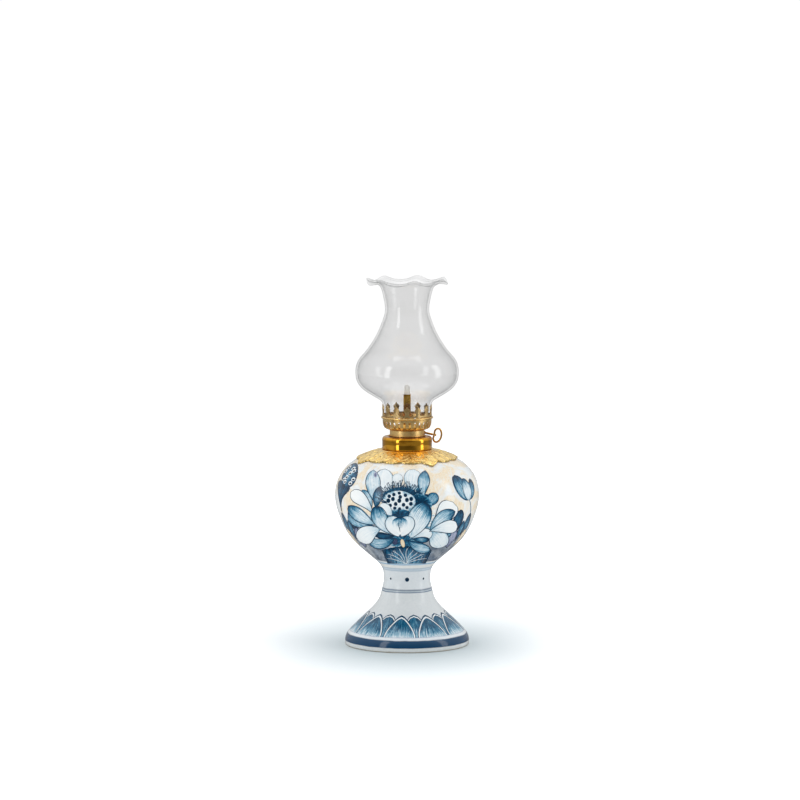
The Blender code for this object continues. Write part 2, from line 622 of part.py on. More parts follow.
def key_loop(brass):
    """A kidney-shaped ring of wire that is riveted to the spindle."""
    frame = spindle_frame(on_spindle(KEY_REACH + KEY_WIRE))
    length, height = KEY_LENGTH / 2 - KEY_WIRE, KEY_HEIGHT / 2 - KEY_WIRE
    steps, sides = 32, 10
    body = bmesh.new()
    path = []
    for index in range(steps):
        turn = math.tau * index / steps
        dent = KEY_DENT * math.exp(-(abs(turn - math.pi) / 0.5) ** 2)
        path.append(Vector((height * math.sin(turn), 0,
                            length * (1 + math.cos(turn)) + dent - KEY_DENT)))
    rings = []
    for index, point in enumerate(path):
        along = (path[(index + 1) % steps] - path[index - 1]).normalized()
        outward = along.cross(Vector((0, 1, 0)))
        rings.append([body.verts.new(point + KEY_WIRE * (
            outward * math.cos(math.tau * side / sides)
            + Vector((0, 1, 0)) * math.sin(math.tau * side / sides))) for side in range(sides)])
    for one, two in zip(rings, rings[1:] + rings[:1]):
        for side in range(sides):
            following = (side + 1) % sides
            body.faces.new((one[side], one[following], two[following], two[side]))
    loop = placed("key_loop", brass, body, frame)
    boss = rod_between(on_spindle(KEY_REACH), on_spindle(KEY_REACH + 2 * KEY_WIRE),
                       RIVET_RADIUS * 2.6, 16)
    combine(loop, boss, "UNION")
    combine(loop, rod_between(on_spindle(KEY_REACH - 1 * MM), on_spindle(KEY_REACH + 3 * MM),
                              RIVET_RADIUS + RUNNING, 12))
    return loop


def gallery_basket(brass):
    """The slotted bowl that lets air in, rolled into a bead at its rim."""
    low, high = BASKET_BOTTOM, BASKET_TOP
    wall = BURNER_SHEET
    rim = BASKET_RADIUS - BEAD_RADIUS
    sleeve = BASKET_SLEEVE
    bowl = stretched(BOWL_SHAPE, (BAND_RADIUS + GAP, low), (rim, low + BOWL_HEIGHT))
    outer = [(sleeve, DECK_BOTTOM), (sleeve, low), *bowl, (rim, high - BEAD_RADIUS)]
    bead = [(rim + BEAD_RADIUS * (1 - math.cos(math.radians(bend))) * 0.9,
             high - BEAD_RADIUS * math.cos(math.radians(bend))) for bend in (30, 90, 150)]
    top = [(rim, high + BEAD_RADIUS), (rim - wall, high + BEAD_RADIUS * 0.6)]
    inner = offset(bowl, wall)[:0:-1] + [(sleeve - wall, low + wall), (sleeve - wall, DECK_BOTTOM)]
    basket = turned("gallery_basket", brass, outer + bead + top + inner, BASKET_SLOTS)
    middle = low + SLOT_MIDDLE

    def slot():
        body = bmesh.new()
        straight = (SLOT_HEIGHT - SLOT_WIDTH) / 2
        rings = []
        for reach in (rim - 4 * MM, rim + 3 * MM):
            ring = []
            for index in range(8):
                turn = math.tau * (index + 0.5) / 8
                shift = straight if math.sin(turn) > 0 else -straight
                ring.append(body.verts.new((reach, SLOT_WIDTH / 2 * math.cos(turn),
                                            middle + shift + SLOT_WIDTH / 2 * math.sin(turn))))
            rings.append(ring)
        for index in range(8):
            following = (index + 1) % 8
            body.faces.new((rings[0][index], rings[0][following], rings[1][following],
                            rings[1][index]))
        body.faces.new(rings[0])
        body.faces.new(rings[1])
        return body

    combine(basket, ring_tool(BASKET_SLOTS, slot))
    combine(basket, spindle_hole(sleeve - wall, sleeve, BUSH_RADIUS + GAP))
    return basket


def prong_crown(brass):
    """The ring of ogee prongs that holds the chimney, with the ledge that it stands on."""
    outer = CROWN_RADIUS
    low = BASKET_TOP + BEAD_RADIUS + GAP
    inner = outer - PRONG_SHEET
    outline = [(outer - LEDGE_WIDTH, low), (outer, low), (outer, low + 1.5 * MM),
               (inner, low + 1.5 * MM), (inner, low + PRONG_SHEET),
               (outer - LEDGE_WIDTH, low + PRONG_SHEET)]
    crown = turned("prong_crown", brass, outline, PRONGS * 2)

    def prong():
        body = bmesh.new()
        rows = []
        for share, wide in PRONG_SHAPE:
            height = low + 0.6 * MM + (PRONG_HEIGHT - 0.6 * MM) * share
            lean = 0.35 * MM * share ** 2
            half = PRONG_WIDTH / 2 * wide / (inner + lean)
            row = []
            for radius, turns in ((inner + lean, (-1, 1)), (outer + lean, (1, -1))):
                for side in turns:
                    angle = half * side
                    row.append(body.verts.new((radius * math.cos(angle), radius * math.sin(angle),
                                               height)))
            rows.append(row)
        for one, two in zip(rows, rows[1:]):
            for corner in range(4):
                following = (corner + 1) % 4
                body.faces.new((one[corner], one[following], two[following], two[corner]))
        body.faces.new(rows[0])
        body.faces.new(rows[-1])
        return body

    combine(crown, ring_tool(PRONGS, prong), "UNION")
    return crown


def wick(cotton):
    """A flat woven wick that hangs into the font."""
    low = WAIST_HEIGHT + FONT_FLOOR + WICK_TAIL_CLEAR
    strip = placed("wick", cotton, block((-WICK_WIDTH / 2, -WICK_THICK / 2, low),
                                         (WICK_WIDTH / 2, WICK_THICK / 2, WICK_TOP)))
    edge = strip.modifiers.new("rounding", "BEVEL")
    edge.width = 0.8 * MM
    edge.segments = 3
    return strip


# ---------------------------------------------------------------- chimney

def chimney(glass):
    """Blown glass: a fitter, a bulb, a throat, and a flared rim that is pressed into ruffles."""
    seat = CHIMNEY_SEAT
    foot = FITTER_RADIUS - 0.25 * MM
    widest, throat = (BULB_RADIUS, seat + BULB_RISE), (THROAT_RADIUS, seat + THROAT_RISE)
    bulb = smooth(stretched(BULB_SHAPE, (FITTER_RADIUS + GAP, seat + FITTER_HEIGHT), widest), 2)
    slope = smooth(stretched(SLOPE_SHAPE, widest, throat), 2)
    rim = smooth(stretched(RIM_SHAPE, throat, (RIM_RADIUS, seat + RIM_RISE)), 2)
    outer = [(foot, seat)] + bulb + slope[1:] + rim[1:]
    inner = offset(outer, GLASS_WALL)
    inner = [(foot - GLASS_WALL, seat), *inner[1:-1:2], inner[-1]]
    count = RUFFLES * max(5, round(TURN_STEPS / RUFFLES))
    body = bmesh.new()
    columns = []
    for index in range(count):
        turn = math.tau * index / count
        wave = math.cos(RUFFLES * (turn + math.pi / 2 - RUFFLE_TURN))
        column = []
        for radius, height in outer + inner[::-1]:
            share = max(0, (radius - THROAT_RADIUS) / (RIM_RADIUS - THROAT_RADIUS))
            lift = RUFFLE_HEIGHT * wave * share ** 2.5 if height > throat[1] else 0
            radius -= lift * 0.25
            column.append(body.verts.new((radius * math.cos(turn), radius * math.sin(turn),
                                          height + lift)))
        columns.append(column)
    for one, two in zip(columns, columns[1:] + columns[:1]):
        for corner in range(len(one)):
            following = (corner + 1) % len(one)
            body.faces.new((one[corner], one[following], two[following], two[corner]))
    return placed("chimney", glass, body)


# ---------------------------------------------------------------- the whole lamp

def main():
    for thing in list(bpy.data.objects):
        bpy.data.objects.remove(thing)
    glaze = finish("blue_white_glaze", (0.78, 0.81, 0.83), 0.12)
    gilt = finish("gilt_brass", (0.83, 0.61, 0.26), 0.3, 1.0)
    polished = finish("polished_brass", (0.86, 0.68, 0.36), 0.12, 1.0)
    satin = finish("satin_brass", (0.84, 0.68, 0.40), 0.34, 1.0)
    coppery = finish("coppery_brass", (0.80, 0.52, 0.26), 0.28, 1.0)
    steel = finish("tinned_steel", (0.62, 0.61, 0.58), 0.35, 1.0)
    plaster = finish("plaster", (0.80, 0.77, 0.70), 0.9)
    fibre = finish("fibre_washer", (0.42, 0.20, 0.12), 0.8)
    cotton = finish("cotton", (0.93, 0.92, 0.88), 0.95)
    glass = finish("clear_glass", (0.97, 0.98, 0.97), 0.02, 0.0, 1.0)

    ceramic_body(glaze)
    leaf_skirt(gilt)
    collar_cement(plaster)
    collar(polished)
    sealing_washer(fibre)
    burner_cup(satin)
    burner_deck(polished)
    wick_tube(polished)
    wheel_cage(polished)
    wick_spindle(coppery)
    wick_wheel(1, steel)
    wick_wheel(2, steel)
    spindle_bushing(polished)
    key_loop(coppery)
    gallery_basket(polished)
    prong_crown(polished)
    wick(cotton)
    chimney(glass)


main()
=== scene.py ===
"""Looks of a blue-and-white porcelain oil lamp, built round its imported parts.

Units are metres and +Z is up. The lamp stands on the ring of its foot, its front faces -Y
and the wick key points along +X. Each sub-assembly is a class that holds its sizes in
millimetres, builds its surfaces with numpy and dresses them with its own finishes.
"""

from __future__ import annotations

import logging
import math
from dataclasses import dataclass, field
from enum import Enum

import bmesh
import bpy
import numpy as np
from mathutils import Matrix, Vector

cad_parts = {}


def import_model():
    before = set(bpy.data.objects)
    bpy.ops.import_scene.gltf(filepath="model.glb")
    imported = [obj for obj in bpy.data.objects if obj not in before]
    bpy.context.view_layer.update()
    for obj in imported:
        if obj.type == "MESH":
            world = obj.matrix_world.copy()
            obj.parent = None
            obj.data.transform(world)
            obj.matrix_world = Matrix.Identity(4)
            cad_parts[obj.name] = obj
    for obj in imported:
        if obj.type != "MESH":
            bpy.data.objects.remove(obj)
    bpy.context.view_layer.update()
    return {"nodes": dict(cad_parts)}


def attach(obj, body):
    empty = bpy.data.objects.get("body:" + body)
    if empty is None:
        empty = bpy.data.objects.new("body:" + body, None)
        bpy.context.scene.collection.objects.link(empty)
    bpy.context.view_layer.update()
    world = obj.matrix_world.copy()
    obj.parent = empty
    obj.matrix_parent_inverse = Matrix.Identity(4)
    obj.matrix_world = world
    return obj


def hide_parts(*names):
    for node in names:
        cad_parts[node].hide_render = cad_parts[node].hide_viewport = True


MM = 0.001
LOG = logging.getLogger("oil_lamp")
Array = np.ndarray
Pair = tuple[float, float]
Triple = tuple[float, float, float]
Socket = bpy.types.NodeSocket
Material = bpy.types.Material


# ---------------------------------------------------------------- surfaces

def catmull(points: tuple[Pair, ...] | list[Pair], steps: int) -> Array:
    """Carries a Catmull-Rom curve through points.

    Formula: between two points the curve is the cubic whose slope at each is half the chord
    between that point's neighbours.

    Args:
        points: The points that the curve passes through, in order.
        steps: How many samples lie between each two points.

    Returns:
        The curve's samples, one row each.
    """
    knots = np.asarray(points, float)
    padded = np.vstack([knots[:1], knots, knots[-1:]])
    t = np.linspace(0, 1, steps, endpoint=False)[None, :, None]
    a, b, c, d = (padded[i:len(padded) - 3 + i, None, :] for i in range(4))
    curve = 0.5 * (2 * b + (c - a) * t + (2 * a - 5 * b + 4 * c - d) * t**2
                   + (3 * b - a - 3 * c + d) * t**3)
    return np.vstack([curve.reshape(-1, knots.shape[1]), knots[-1:]])


def resample(curve: Array, count: int) -> Array:
    """Spaces a curve's samples evenly along its length.

    Args:
        curve: Samples in order, one row each.
        count: How many samples to return.

    Returns:
        The evenly spaced samples.
    """
    length = np.concatenate([[0], np.cumsum(np.linalg.norm(np.diff(curve, axis=0), axis=1))])
    wanted = np.linspace(0, length[-1], count)
    return np.stack([np.interp(wanted, length, curve[:, k]) for k in range(curve.shape[1])], 1)


def arc(centre: Pair, radius: float, start: float, stop: float,
        count: int = 9) -> Array:
    """Draws a circular arc in the (radius, height) plane.

    Args:
        centre: The arc's centre.
        radius: The arc's radius.
        start: First angle in degrees, from the outward direction towards up.
        stop: Last angle in degrees.
        count: Number of samples.

    Returns:
        The samples of the arc.
    """
    turn = np.radians(np.linspace(start, stop, count))
    return np.stack([centre[0] + radius * np.cos(turn), centre[1] + radius * np.sin(turn)], 1)


def heading(degrees: float) -> Pair:
    """Returns the cosine and the sine of an angle in degrees."""
    return math.cos(math.radians(degrees)), math.sin(math.radians(degrees))


def full_turn(count: int) -> Array:
    """Returns this many evenly spaced angles of one turn, as a column."""
    return np.linspace(0, math.tau, count, endpoint=False)[:, None]


def shares(columns: int, rows: int, first: float = -1.0) -> tuple[Array, Array]:
    """Returns a grid's shares across, from first to 1, and along, from 0 to 1."""
    across, along = np.linspace(first, 1, columns), np.linspace(0, 1, rows)
    return np.meshgrid(across, along, indexing="ij")


def outward(curve: Array) -> Array:
    """Returns the unit normals of a profile that runs upwards, pointing out from the axis."""
    run = np.gradient(curve, axis=0)
    run /= np.linalg.norm(run, axis=1, keepdims=True)
    return np.stack([run[:, 1], -run[:, 0]], 1)


def round_axis(radius: Array, turn: Array, height: Array) -> Array:
    """Places points at a radius, a turn round the lamp's axis and a height."""
    across = radius * np.cos(turn)
    return np.stack([across, radius * np.sin(turn), np.broadcast_to(height, across.shape)], -1)


def revolve(profile: Array, columns: int) -> Array:
    """Turns a profile round the lamp's axis.

    Formula: the point at turn a and profile place (r, z) is (r cos a, r sin a, z).

    Args:
        profile: Rows of (radius, height).
        columns: How many places round the axis.

    Returns:
        A grid of points, columns by rows by 3.
    """
    return round_axis(profile[None, :, 0], full_turn(columns), profile[None, :, 1])


def sweep(path: Array, radius: Array | float, sides: int, closed: bool,
          up: Triple = (0, 0, 1)) -> Array:
    """Carries a circle along a path.

    Formula: each ring lies across the path's direction, its two axes being the part of `up`
    that is square to the path and the product of the two.

    Args:
        path: Points of the centre line.
        radius: Radius of the tube, one value or one for each point.
        sides: Points in each ring.
        closed: True if the path runs back into its start.
        up: A direction that the path never follows.

    Returns:
        A grid of points, sides by path points by 3.
    """
    if closed:
        along = np.roll(path, -1, 0) - np.roll(path, 1, 0)
    else:
        along = np.gradient(path, axis=0)
    along /= np.linalg.norm(along, axis=1, keepdims=True)
    side = np.cross(along, np.asarray(up, float))
    side /= np.linalg.norm(side, axis=1, keepdims=True)
    top = np.cross(side, along)
    turn = full_turn(sides)[..., None]
    reach = np.broadcast_to(np.asarray(radius, float), (len(path),))[None, :, None]
    return path[None] + reach * (np.cos(turn) * side[None] + np.sin(turn) * top[None])


@dataclass
class Sheet:
    """A grid of points with what its mesh needs.

    Args:
        points: Columns by rows by 3, in millimetres.
        round_columns: True if the last column meets the first.
        round_rows: True if the last row meets the first.
        uv: Columns by rows by 2, or None.
        marks: Named values for each point, columns by rows.
        cap_rows: True to close the first and last row with a flat face each.
    """

    points: Array
    round_columns: bool = True
    round_rows: bool = False
    uv: Array | None = None
    marks: dict[str, Array] = field(default_factory=dict)
    cap_rows: bool = False

    def faces(self) -> Array:
        """Lists the grid's four-cornered faces.

        Formula: the face at (i, j) joins (i, j), (i+1, j), (i+1, j+1) and (i, j+1).

        Returns:
            Rows of four point numbers.
        """
        columns, rows = self.points.shape[:2]
        number = np.arange(columns * rows).reshape(columns, rows)
        across = columns if self.round_columns else columns - 1
        along = rows if self.round_rows else rows - 1
        i, j = np.meshgrid(np.arange(across), np.arange(along), indexing="ij")
        i2, j2 = (i + 1) % columns, (j + 1) % rows
        quads = np.stack([number[i, j], number[i2, j], number[i2, j2], number[i, j2]], 2)
        return quads.reshape(-1, 4)


class Piece:
    """A mesh object put together from sheets."""

    def __init__(self, name: str, sheets: list[Sheet], merge: float = 1e-7) -> None:
        """Builds the object.

        Args:
            name: The object's name.
            sheets: The sheets that the mesh holds.
            merge: Points this close are made one, in metres, so poles and seams close.
        """
        self.name = name
        points, faces, uvs, caps, start = [], [], [], [], 0
        marks: dict[str, list[Array]] = {key: [] for s in sheets for key in s.marks}
        for sheet in sheets:
            columns, rows = sheet.points.shape[:2]
            points.append(sheet.points.reshape(-1, 3) * MM)
            faces.append(sheet.faces() + start)
            uv = sheet.uv if sheet.uv is not None else np.zeros((columns, rows, 2))
            uvs.append(uv.reshape(-1, 2))
            for key, values in marks.items():
                values.append(sheet.marks.get(key, np.zeros((columns, rows))).reshape(-1))
            if sheet.cap_rows:
                ring = np.arange(columns) * rows
                caps.append((ring[::-1] + start).tolist())
                caps.append((ring + rows - 1 + start).tolist())
            start += columns * rows
        mesh = bpy.data.meshes.new(name)
        mesh.from_pydata(np.vstack(points).tolist(), [], np.vstack(faces).tolist() + caps)
        corner = np.empty(len(mesh.loops), np.int32)
        mesh.loops.foreach_get("vertex_index", corner)
        layer = mesh.uv_layers.new(name="surface")
        layer.data.foreach_set("uv", np.vstack(uvs)[corner].astype(np.float32).reshape(-1))
        for key, values in marks.items():
            attribute = mesh.attributes.new(key, "FLOAT", "POINT")
            attribute.data.foreach_set("value", np.concatenate(values).astype(np.float32))
        self.object = bpy.data.objects.new(name, mesh)
        bpy.context.scene.collection.objects.link(self.object)
        if merge:
            body = bmesh.new()
            body.from_mesh(mesh)
            bmesh.ops.remove_doubles(body, verts=body.verts, dist=merge)
            bmesh.ops.dissolve_degenerate(body, edges=body.edges, dist=merge)
            body.to_mesh(mesh)
            body.free()
        self.smooth()

    def smooth(self, angle: float = 40.0) -> Piece:
        """Shades the mesh smooth, with creases over an angle.

        Args:
            angle: The crease angle in degrees.

        Returns:
            This piece.
        """
        self.object.data.shade_smooth()
        self.object.data.set_sharp_from_angle(angle=math.radians(angle))
        return self

    def cut(self, tool: Piece) -> Piece:
        """Cuts another piece's shape out of this one, and removes the tool.

        Args:
            tool: The closed piece to cut away.

        Returns:
            This piece.
        """
        step = self.object.modifiers.new("cut", "BOOLEAN")
        step.operation = "DIFFERENCE"
        step.object = tool.object
        self.apply()
        bpy.data.objects.remove(tool.object)
        return self

    def apply(self) -> None:
        """Makes the modifiers part of the mesh."""
        bpy.context.view_layer.update()
        graph = bpy.context.evaluated_depsgraph_get()
        mesh = bpy.data.meshes.new_from_object(self.object.evaluated_get(graph),
                                               preserve_all_data_layers=True, depsgraph=graph)
        self.object.modifiers.clear()
        old = self.object.data
        self.object.data = mesh
        bpy.data.meshes.remove(old)
        mesh.name = self.name
        self.smooth()

    def dress(self, material: Material) -> Piece:
        """Gives the piece its material and returns the piece."""
        self.object.data.materials.clear()
        self.object.data.materials.append(material)
        return self

    def fit(self, body: str, slot: str, *nodes: str) -> Piece:
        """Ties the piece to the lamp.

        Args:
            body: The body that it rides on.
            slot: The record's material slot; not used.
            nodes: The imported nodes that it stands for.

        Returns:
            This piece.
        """
        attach(self.object, body)
        if nodes:
            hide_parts(*nodes)
        LOG.info("%s: %d faces", self.name, len(self.object.data.polygons))
        return self


# ---------------------------------------------------------------- finishes

class Nodes:
    """A tree of shader nodes under construction."""

    def __init__(self, tree: bpy.types.NodeTree) -> None:
        """Starts on a tree.

        Args:
            tree: The tree that new nodes join.
        """
        self.tree = tree

    def node(self, kind: str, links: dict[str | int, object] | None = None,
             **settings: object) -> bpy.types.Node:
        """Adds a node.

        Args:
            kind: The node's type, without its ShaderNode prefix.
            links: Socket name or number to an output socket or a plain value.
            settings: Properties of the node itself.

        Returns:
            The new node.
        """
        made = self.tree.nodes.new("ShaderNode" + kind)
        for key, value in settings.items():
            setattr(made, key, value)
        for key, value in (links or {}).items():
            if isinstance(value, Socket):
                self.tree.links.new(value, made.inputs[key])
            else:
                made.inputs[key].default_value = value
        return made

    def math(self, operation: str, *values: object, clamp: bool = False) -> Socket:
        """Adds a Math node on sockets or numbers and returns its output."""
        made = self.node("Math", dict(enumerate(values)), operation=operation, use_clamp=clamp)
        return made.outputs[0]

    def between(self, value: object, low: float, high: float, start: float = 0.0,
                stop: float = 1.0) -> Socket:
        """Maps low..high to start..stop with a soft step and returns the result."""
        made = self.node("MapRange", {"Value": value, "From Min": low, "From Max": high,
                                      "To Min": start, "To Max": stop},
                         interpolation_type="SMOOTHSTEP")
        return made.outputs[0]


class Shader(Nodes):
    """A Principled material and the nodes that feed it."""

    def __init__(self, name: str) -> None:
        """Starts the material.

        Args:
            name: The material's name.
        """
        self.material = bpy.data.materials.new(name)
        self.material.use_nodes = True
        super().__init__(self.material.node_tree)
        self.principled = self.tree.nodes["Principled BSDF"]

    def set(self, **values: float | tuple[float, ...]) -> Shader:
        """Sets sockets of the Principled shader, with underscores for spaces, and returns self."""
        for key, value in values.items():
            self.principled.inputs[key.replace("_", " ")].default_value = value
        return self

    def noise(self, vector: object, scale: float, detail: float = 3.0, roughness: float = 0.5,
              distortion: float = 0.0) -> Socket:
        """Adds a Noise texture and returns its value output."""
        made = self.node("TexNoise", {"Vector": vector, "Scale": scale, "Detail": detail,
                                      "Roughness": roughness, "Distortion": distortion})
        return made.outputs[0]

    def stretched(self, vector: object, scale: Triple) -> Socket:
        """Scales a coordinate by a Mapping node and returns the result."""
        return self.node("Mapping", {"Vector": vector, "Scale": scale}).outputs[0]

    def ramp(self, value: object, *stops: tuple[float, Triple]) -> Socket:
        """Adds a colour ramp with the stops given as (place, colour) and returns its colour."""
        made = self.node("ValToRGB", {"Fac": value})
        elements = made.color_ramp.elements
        while len(elements) < len(stops):
            elements.new(0.5)
        for element, (place, colour) in zip(elements, stops):
            element.position = place
            element.color = (*colour, 1)
        return made.outputs[0]

    def mixed(self, share: object, first: object, second: object,
              blend: str = "MIX") -> Socket:
        """Mixes two colours and returns the result."""
        made = self.node("Mix", None, data_type="RGBA", blend_type=blend)
        for socket, value in ((0, share), (6, first), (7, second)):
            if isinstance(value, Socket):
                self.tree.links.new(value, made.inputs[socket])
            elif isinstance(value, tuple):
                made.inputs[socket].default_value = (*value, 1)
            else:
                made.inputs[socket].default_value = value
        return made.outputs[2]

    def place(self) -> Socket:
        """Returns the Object coordinates."""
        return self.node("TexCoord").outputs["Object"]

    def surface(self) -> Socket:
        """Returns the piece's own surface coordinates."""
        return self.node("UVMap", uv_map="surface").outputs[0]

    def value(self, name: str) -> Socket:
        """Returns a named value of the mesh."""
        return self.node("Attribute", attribute_name=name).outputs["Fac"]

    def feed(self, socket: str, value: Socket) -> Shader:
        """Links an output to a socket of the Principled shader and returns self."""
        self.tree.links.new(value, self.principled.inputs[socket])
        return self

    def bump(self, height: Socket, strength: float, distance: float) -> Shader:
        """Feeds a bump to the shader's normal.

        Args:
            height: The height pattern.
            strength: How strong the bump is.
            distance: Height of the pattern, in metres.

        Returns:
            This shader.
        """
        made = self.node("Bump", {"Height": height, "Strength": strength, "Distance": distance})
        return self.feed("Normal", made.outputs[0])


def srgb(code: int) -> Triple:
    """Turns a six-digit hexadecimal colour into linear values.

    Args:
        code: The colour, such as 0xE4E9EC.

    Returns:
        Linear red, green and blue.
    """
    parts = ((code >> 16) & 255, (code >> 8) & 255, code & 255)
    return tuple((part / 255 / 12.92) if part / 255 <= 0.04045
                 else ((part / 255 + 0.055) / 1.055) ** 2.4 for part in parts)


# ---------------------------------------------------------------- finishes of the porcelain

def glazed(name: str) -> Shader:
    """Starts a material under clear glaze, with the faint swell of its fired surface.

    Args:
        name: The material's name.

    Returns:
        The shader, still without its colour.
    """
    s = Shader(name)
    s.set(Roughness=0.16, Coat_Weight=0.35, Coat_Roughness=0.04, Coat_IOR=1.5, IOR=1.5,
          Specular_IOR_Level=0.25)
    return s.bump(s.noise(s.place(), 130.0, 3.0, 0.55), 0.16, 0.0004)


BLUE_WASH = ((0.0, srgb(0xF1F3F2)), (0.19, srgb(0xD8E3E8)), (0.38, srgb(0x80ADC2)),
             (0.58, srgb(0x1E6C8E)), (0.78, srgb(0x033F60)), (1.0, srgb(0x01243A)))


@dataclass(frozen=True)
class GroundFinish:
    """Glazed porcelain with hand-painted bands and cream brushing, and painted shade: a patchy
    dark grey-blue on the lower belly.

    Args:
        top: Height, in millimetres, that the band ramp's end stands for.
        wobble: How far a brush wanders from a band's edge, in millimetres.
        soft: Half the width of the soft edge between two bands, in millimetres.
        line: A band up to this wide is a brushed line, in millimetres.
        edges: Each band's upper edge in millimetres and its colour, from the foot upwards.
    """

    top: float = 160.0
    wobble: float = 0.35
    soft: float = 0.12
    line: float = 0.95
    edges: tuple[tuple[float, int], ...] = (
        (0.7, 0xC9AE86), (3.5, 0xE7E9E8), (8.9, 0x063F63), (11.0, 0xE9EDEF), (15.0, 0xAAB6CC),
        (20.0, 0xC2CCDB), (25.2, 0xD9DEE2), (41.7, 0xE2E5E5), (42.5, 0x1C4F74),
        (43.4, 0xDCE4E8), (44.3, 0x0D4064), (58.2, 0xE4E8EA), (59.0, 0x4A7FA3),
        (60.0, 0xDFE6EA), (60.7, 0x5F90B3), (63.4, 0xECEBE7), (64.8, 0x9CBCD4),
        (150.0, 0xE9ECEC), (160.0, 0xE4E7E8))

    def material(self) -> Material:
        """Builds the material and returns it."""
        s = glazed("porcelain")
        place = s.place()
        height = s.node("SeparateXYZ", {0: place}).outputs[2]
        shake = s.math("SUBTRACT", s.noise(place, 90.0, 2.0), 0.5)
        level = s.math("MULTIPLY_ADD", height, 1000.0, s.math("MULTIPLY", shake, self.wobble * 2))
        share = s.math("DIVIDE", level, self.top)
        bands = self.bands(s, share)
        patches = s.between(s.noise(s.stretched(place, (1, 1, 0.75)), 62.0, 5.0, 0.6, 1.1),
                            0.42, 0.57)
        strokes = s.noise(s.stretched(place, (1, 1, 0.35)), 420.0, 4.0, 0.65, 2.5)
        cream = s.ramp(strokes, (0.3, srgb(0xE6C795)), (0.5, srgb(0xF0DDBB)),
                       (0.7, srgb(0xF3EBDD)))
        upper = s.math("MULTIPLY", s.between(level, 92.0, 108.0), s.between(level, 152, 150))
        ground = s.mixed(s.math("MULTIPLY", s.math("MULTIPLY", patches, upper), 0.85),
                         bands, cream)
        # Painted shade: a patchy dark grey-blue that deepens down the lower belly towards the
        # waist, where the belly turns under.
        lower = s.math("MULTIPLY", s.between(level, 98.0, 74.0), s.between(level, 65.5, 66.5))
        painted_shade_patches = s.noise(s.stretched(place, (1, 1, 0.3)), 95.0, 4.0, 0.6, 0.6)
        wash = s.math("MULTIPLY", lower, s.between(painted_shade_patches, 0.28, 0.6, 0.5, 1.0))
        tint = s.ramp(s.noise(place, 160.0, 4.0, 0.6), (0.35, srgb(0x35465C)),
                      (0.55, srgb(0x566679)), (0.72, srgb(0x8292A6)))
        ground = s.mixed(wash, ground, tint)
        mottle = s.ramp(s.noise(place, 520.0, 3.0, 0.6), (0.3, (0.93, 0.94, 0.95)),
                        (0.7, (1.0, 1.0, 1.0)))
        s.feed("Base Color", s.mixed(1.0, ground, mottle, "MULTIPLY"))
        bare = s.between(level, 0.9, 0.5)
        s.feed("Roughness", s.math("MULTIPLY_ADD", bare, 0.55,
                                   s.between(s.noise(place, 240.0), 0.3, 0.7, 0.12, 0.2)))
        return s.feed("Coat Weight", s.math("MULTIPLY_ADD", bare, -0.35, 0.35)).material

    def bands(self, s: Shader, share: Socket) -> Socket:
        """Paints the turned bands.

        Formula: a ramp over height with a stop a little inside each edge of a band. A ramp
        holds 32 stops, so a brushed line has one only, inside its lower edge.

        Args:
            s: The shader under construction.
            share: Height as a share of the ramp.

        Returns:
            The colour of the bands.
        """
        stops, low = [], 0.0
        for high, code in self.edges:
            stops.append(((low + self.soft) / self.top, srgb(code)))
            if high - low > self.line:
                stops.append(((high - self.soft) / self.top, srgb(code)))
            low = high
        return s.ramp(share, *stops)


@dataclass(frozen=True)
class BrushFinish:
    """Cobalt brushwork under glaze, streaked along each stroke.

    Args:
        streaks: How many streaks lie across a stroke.
    """

    streaks: float = 26.0

    def material(self) -> Material:
        """Builds the material and returns it."""
        s = glazed("cobalt_brushwork")
        streak = s.noise(s.stretched(s.surface(), (self.streaks, 1.6, 1)), 1.0, 4.0, 0.62, 0.25)
        cloud = s.noise(s.place(), 300.0, 3.0, 0.6)
        ink = s.value("ink")
        change = s.math("ADD", s.math("MULTIPLY", s.math("SUBTRACT", streak, 0.5), 1.5),
                        s.math("MULTIPLY", s.math("SUBTRACT", cloud, 0.5), 0.5))
        reach = s.math("MULTIPLY", s.math("MULTIPLY", ink, s.math("SUBTRACT", 1.15, ink)), 3.0)
        density = s.math("MULTIPLY_ADD", change, reach, ink, clamp=True)
        blue = s.ramp(density, *BLUE_WASH)
        violet = s.ramp(density, (0.0, srgb(0xE6E6EC)), (0.4, srgb(0xA9AFC4)),
                        (0.75, srgb(0x6A7392)), (1.0, srgb(0x2C3856)))
        cream = s.ramp(density, (0.0, srgb(0xF3EBDD)), (0.5, srgb(0xE8CFA4)),
                       (1.0, srgb(0xA98A5E)))
        colour = s.mixed(s.value("violet"), blue, violet)
        s.feed("Base Color", s.mixed(s.value("cream"), colour, cream))
        return s.feed("Roughness", s.between(cloud, 0.3, 0.7, 0.12, 0.2)).material


# ---------------------------------------------------------------- porcelain

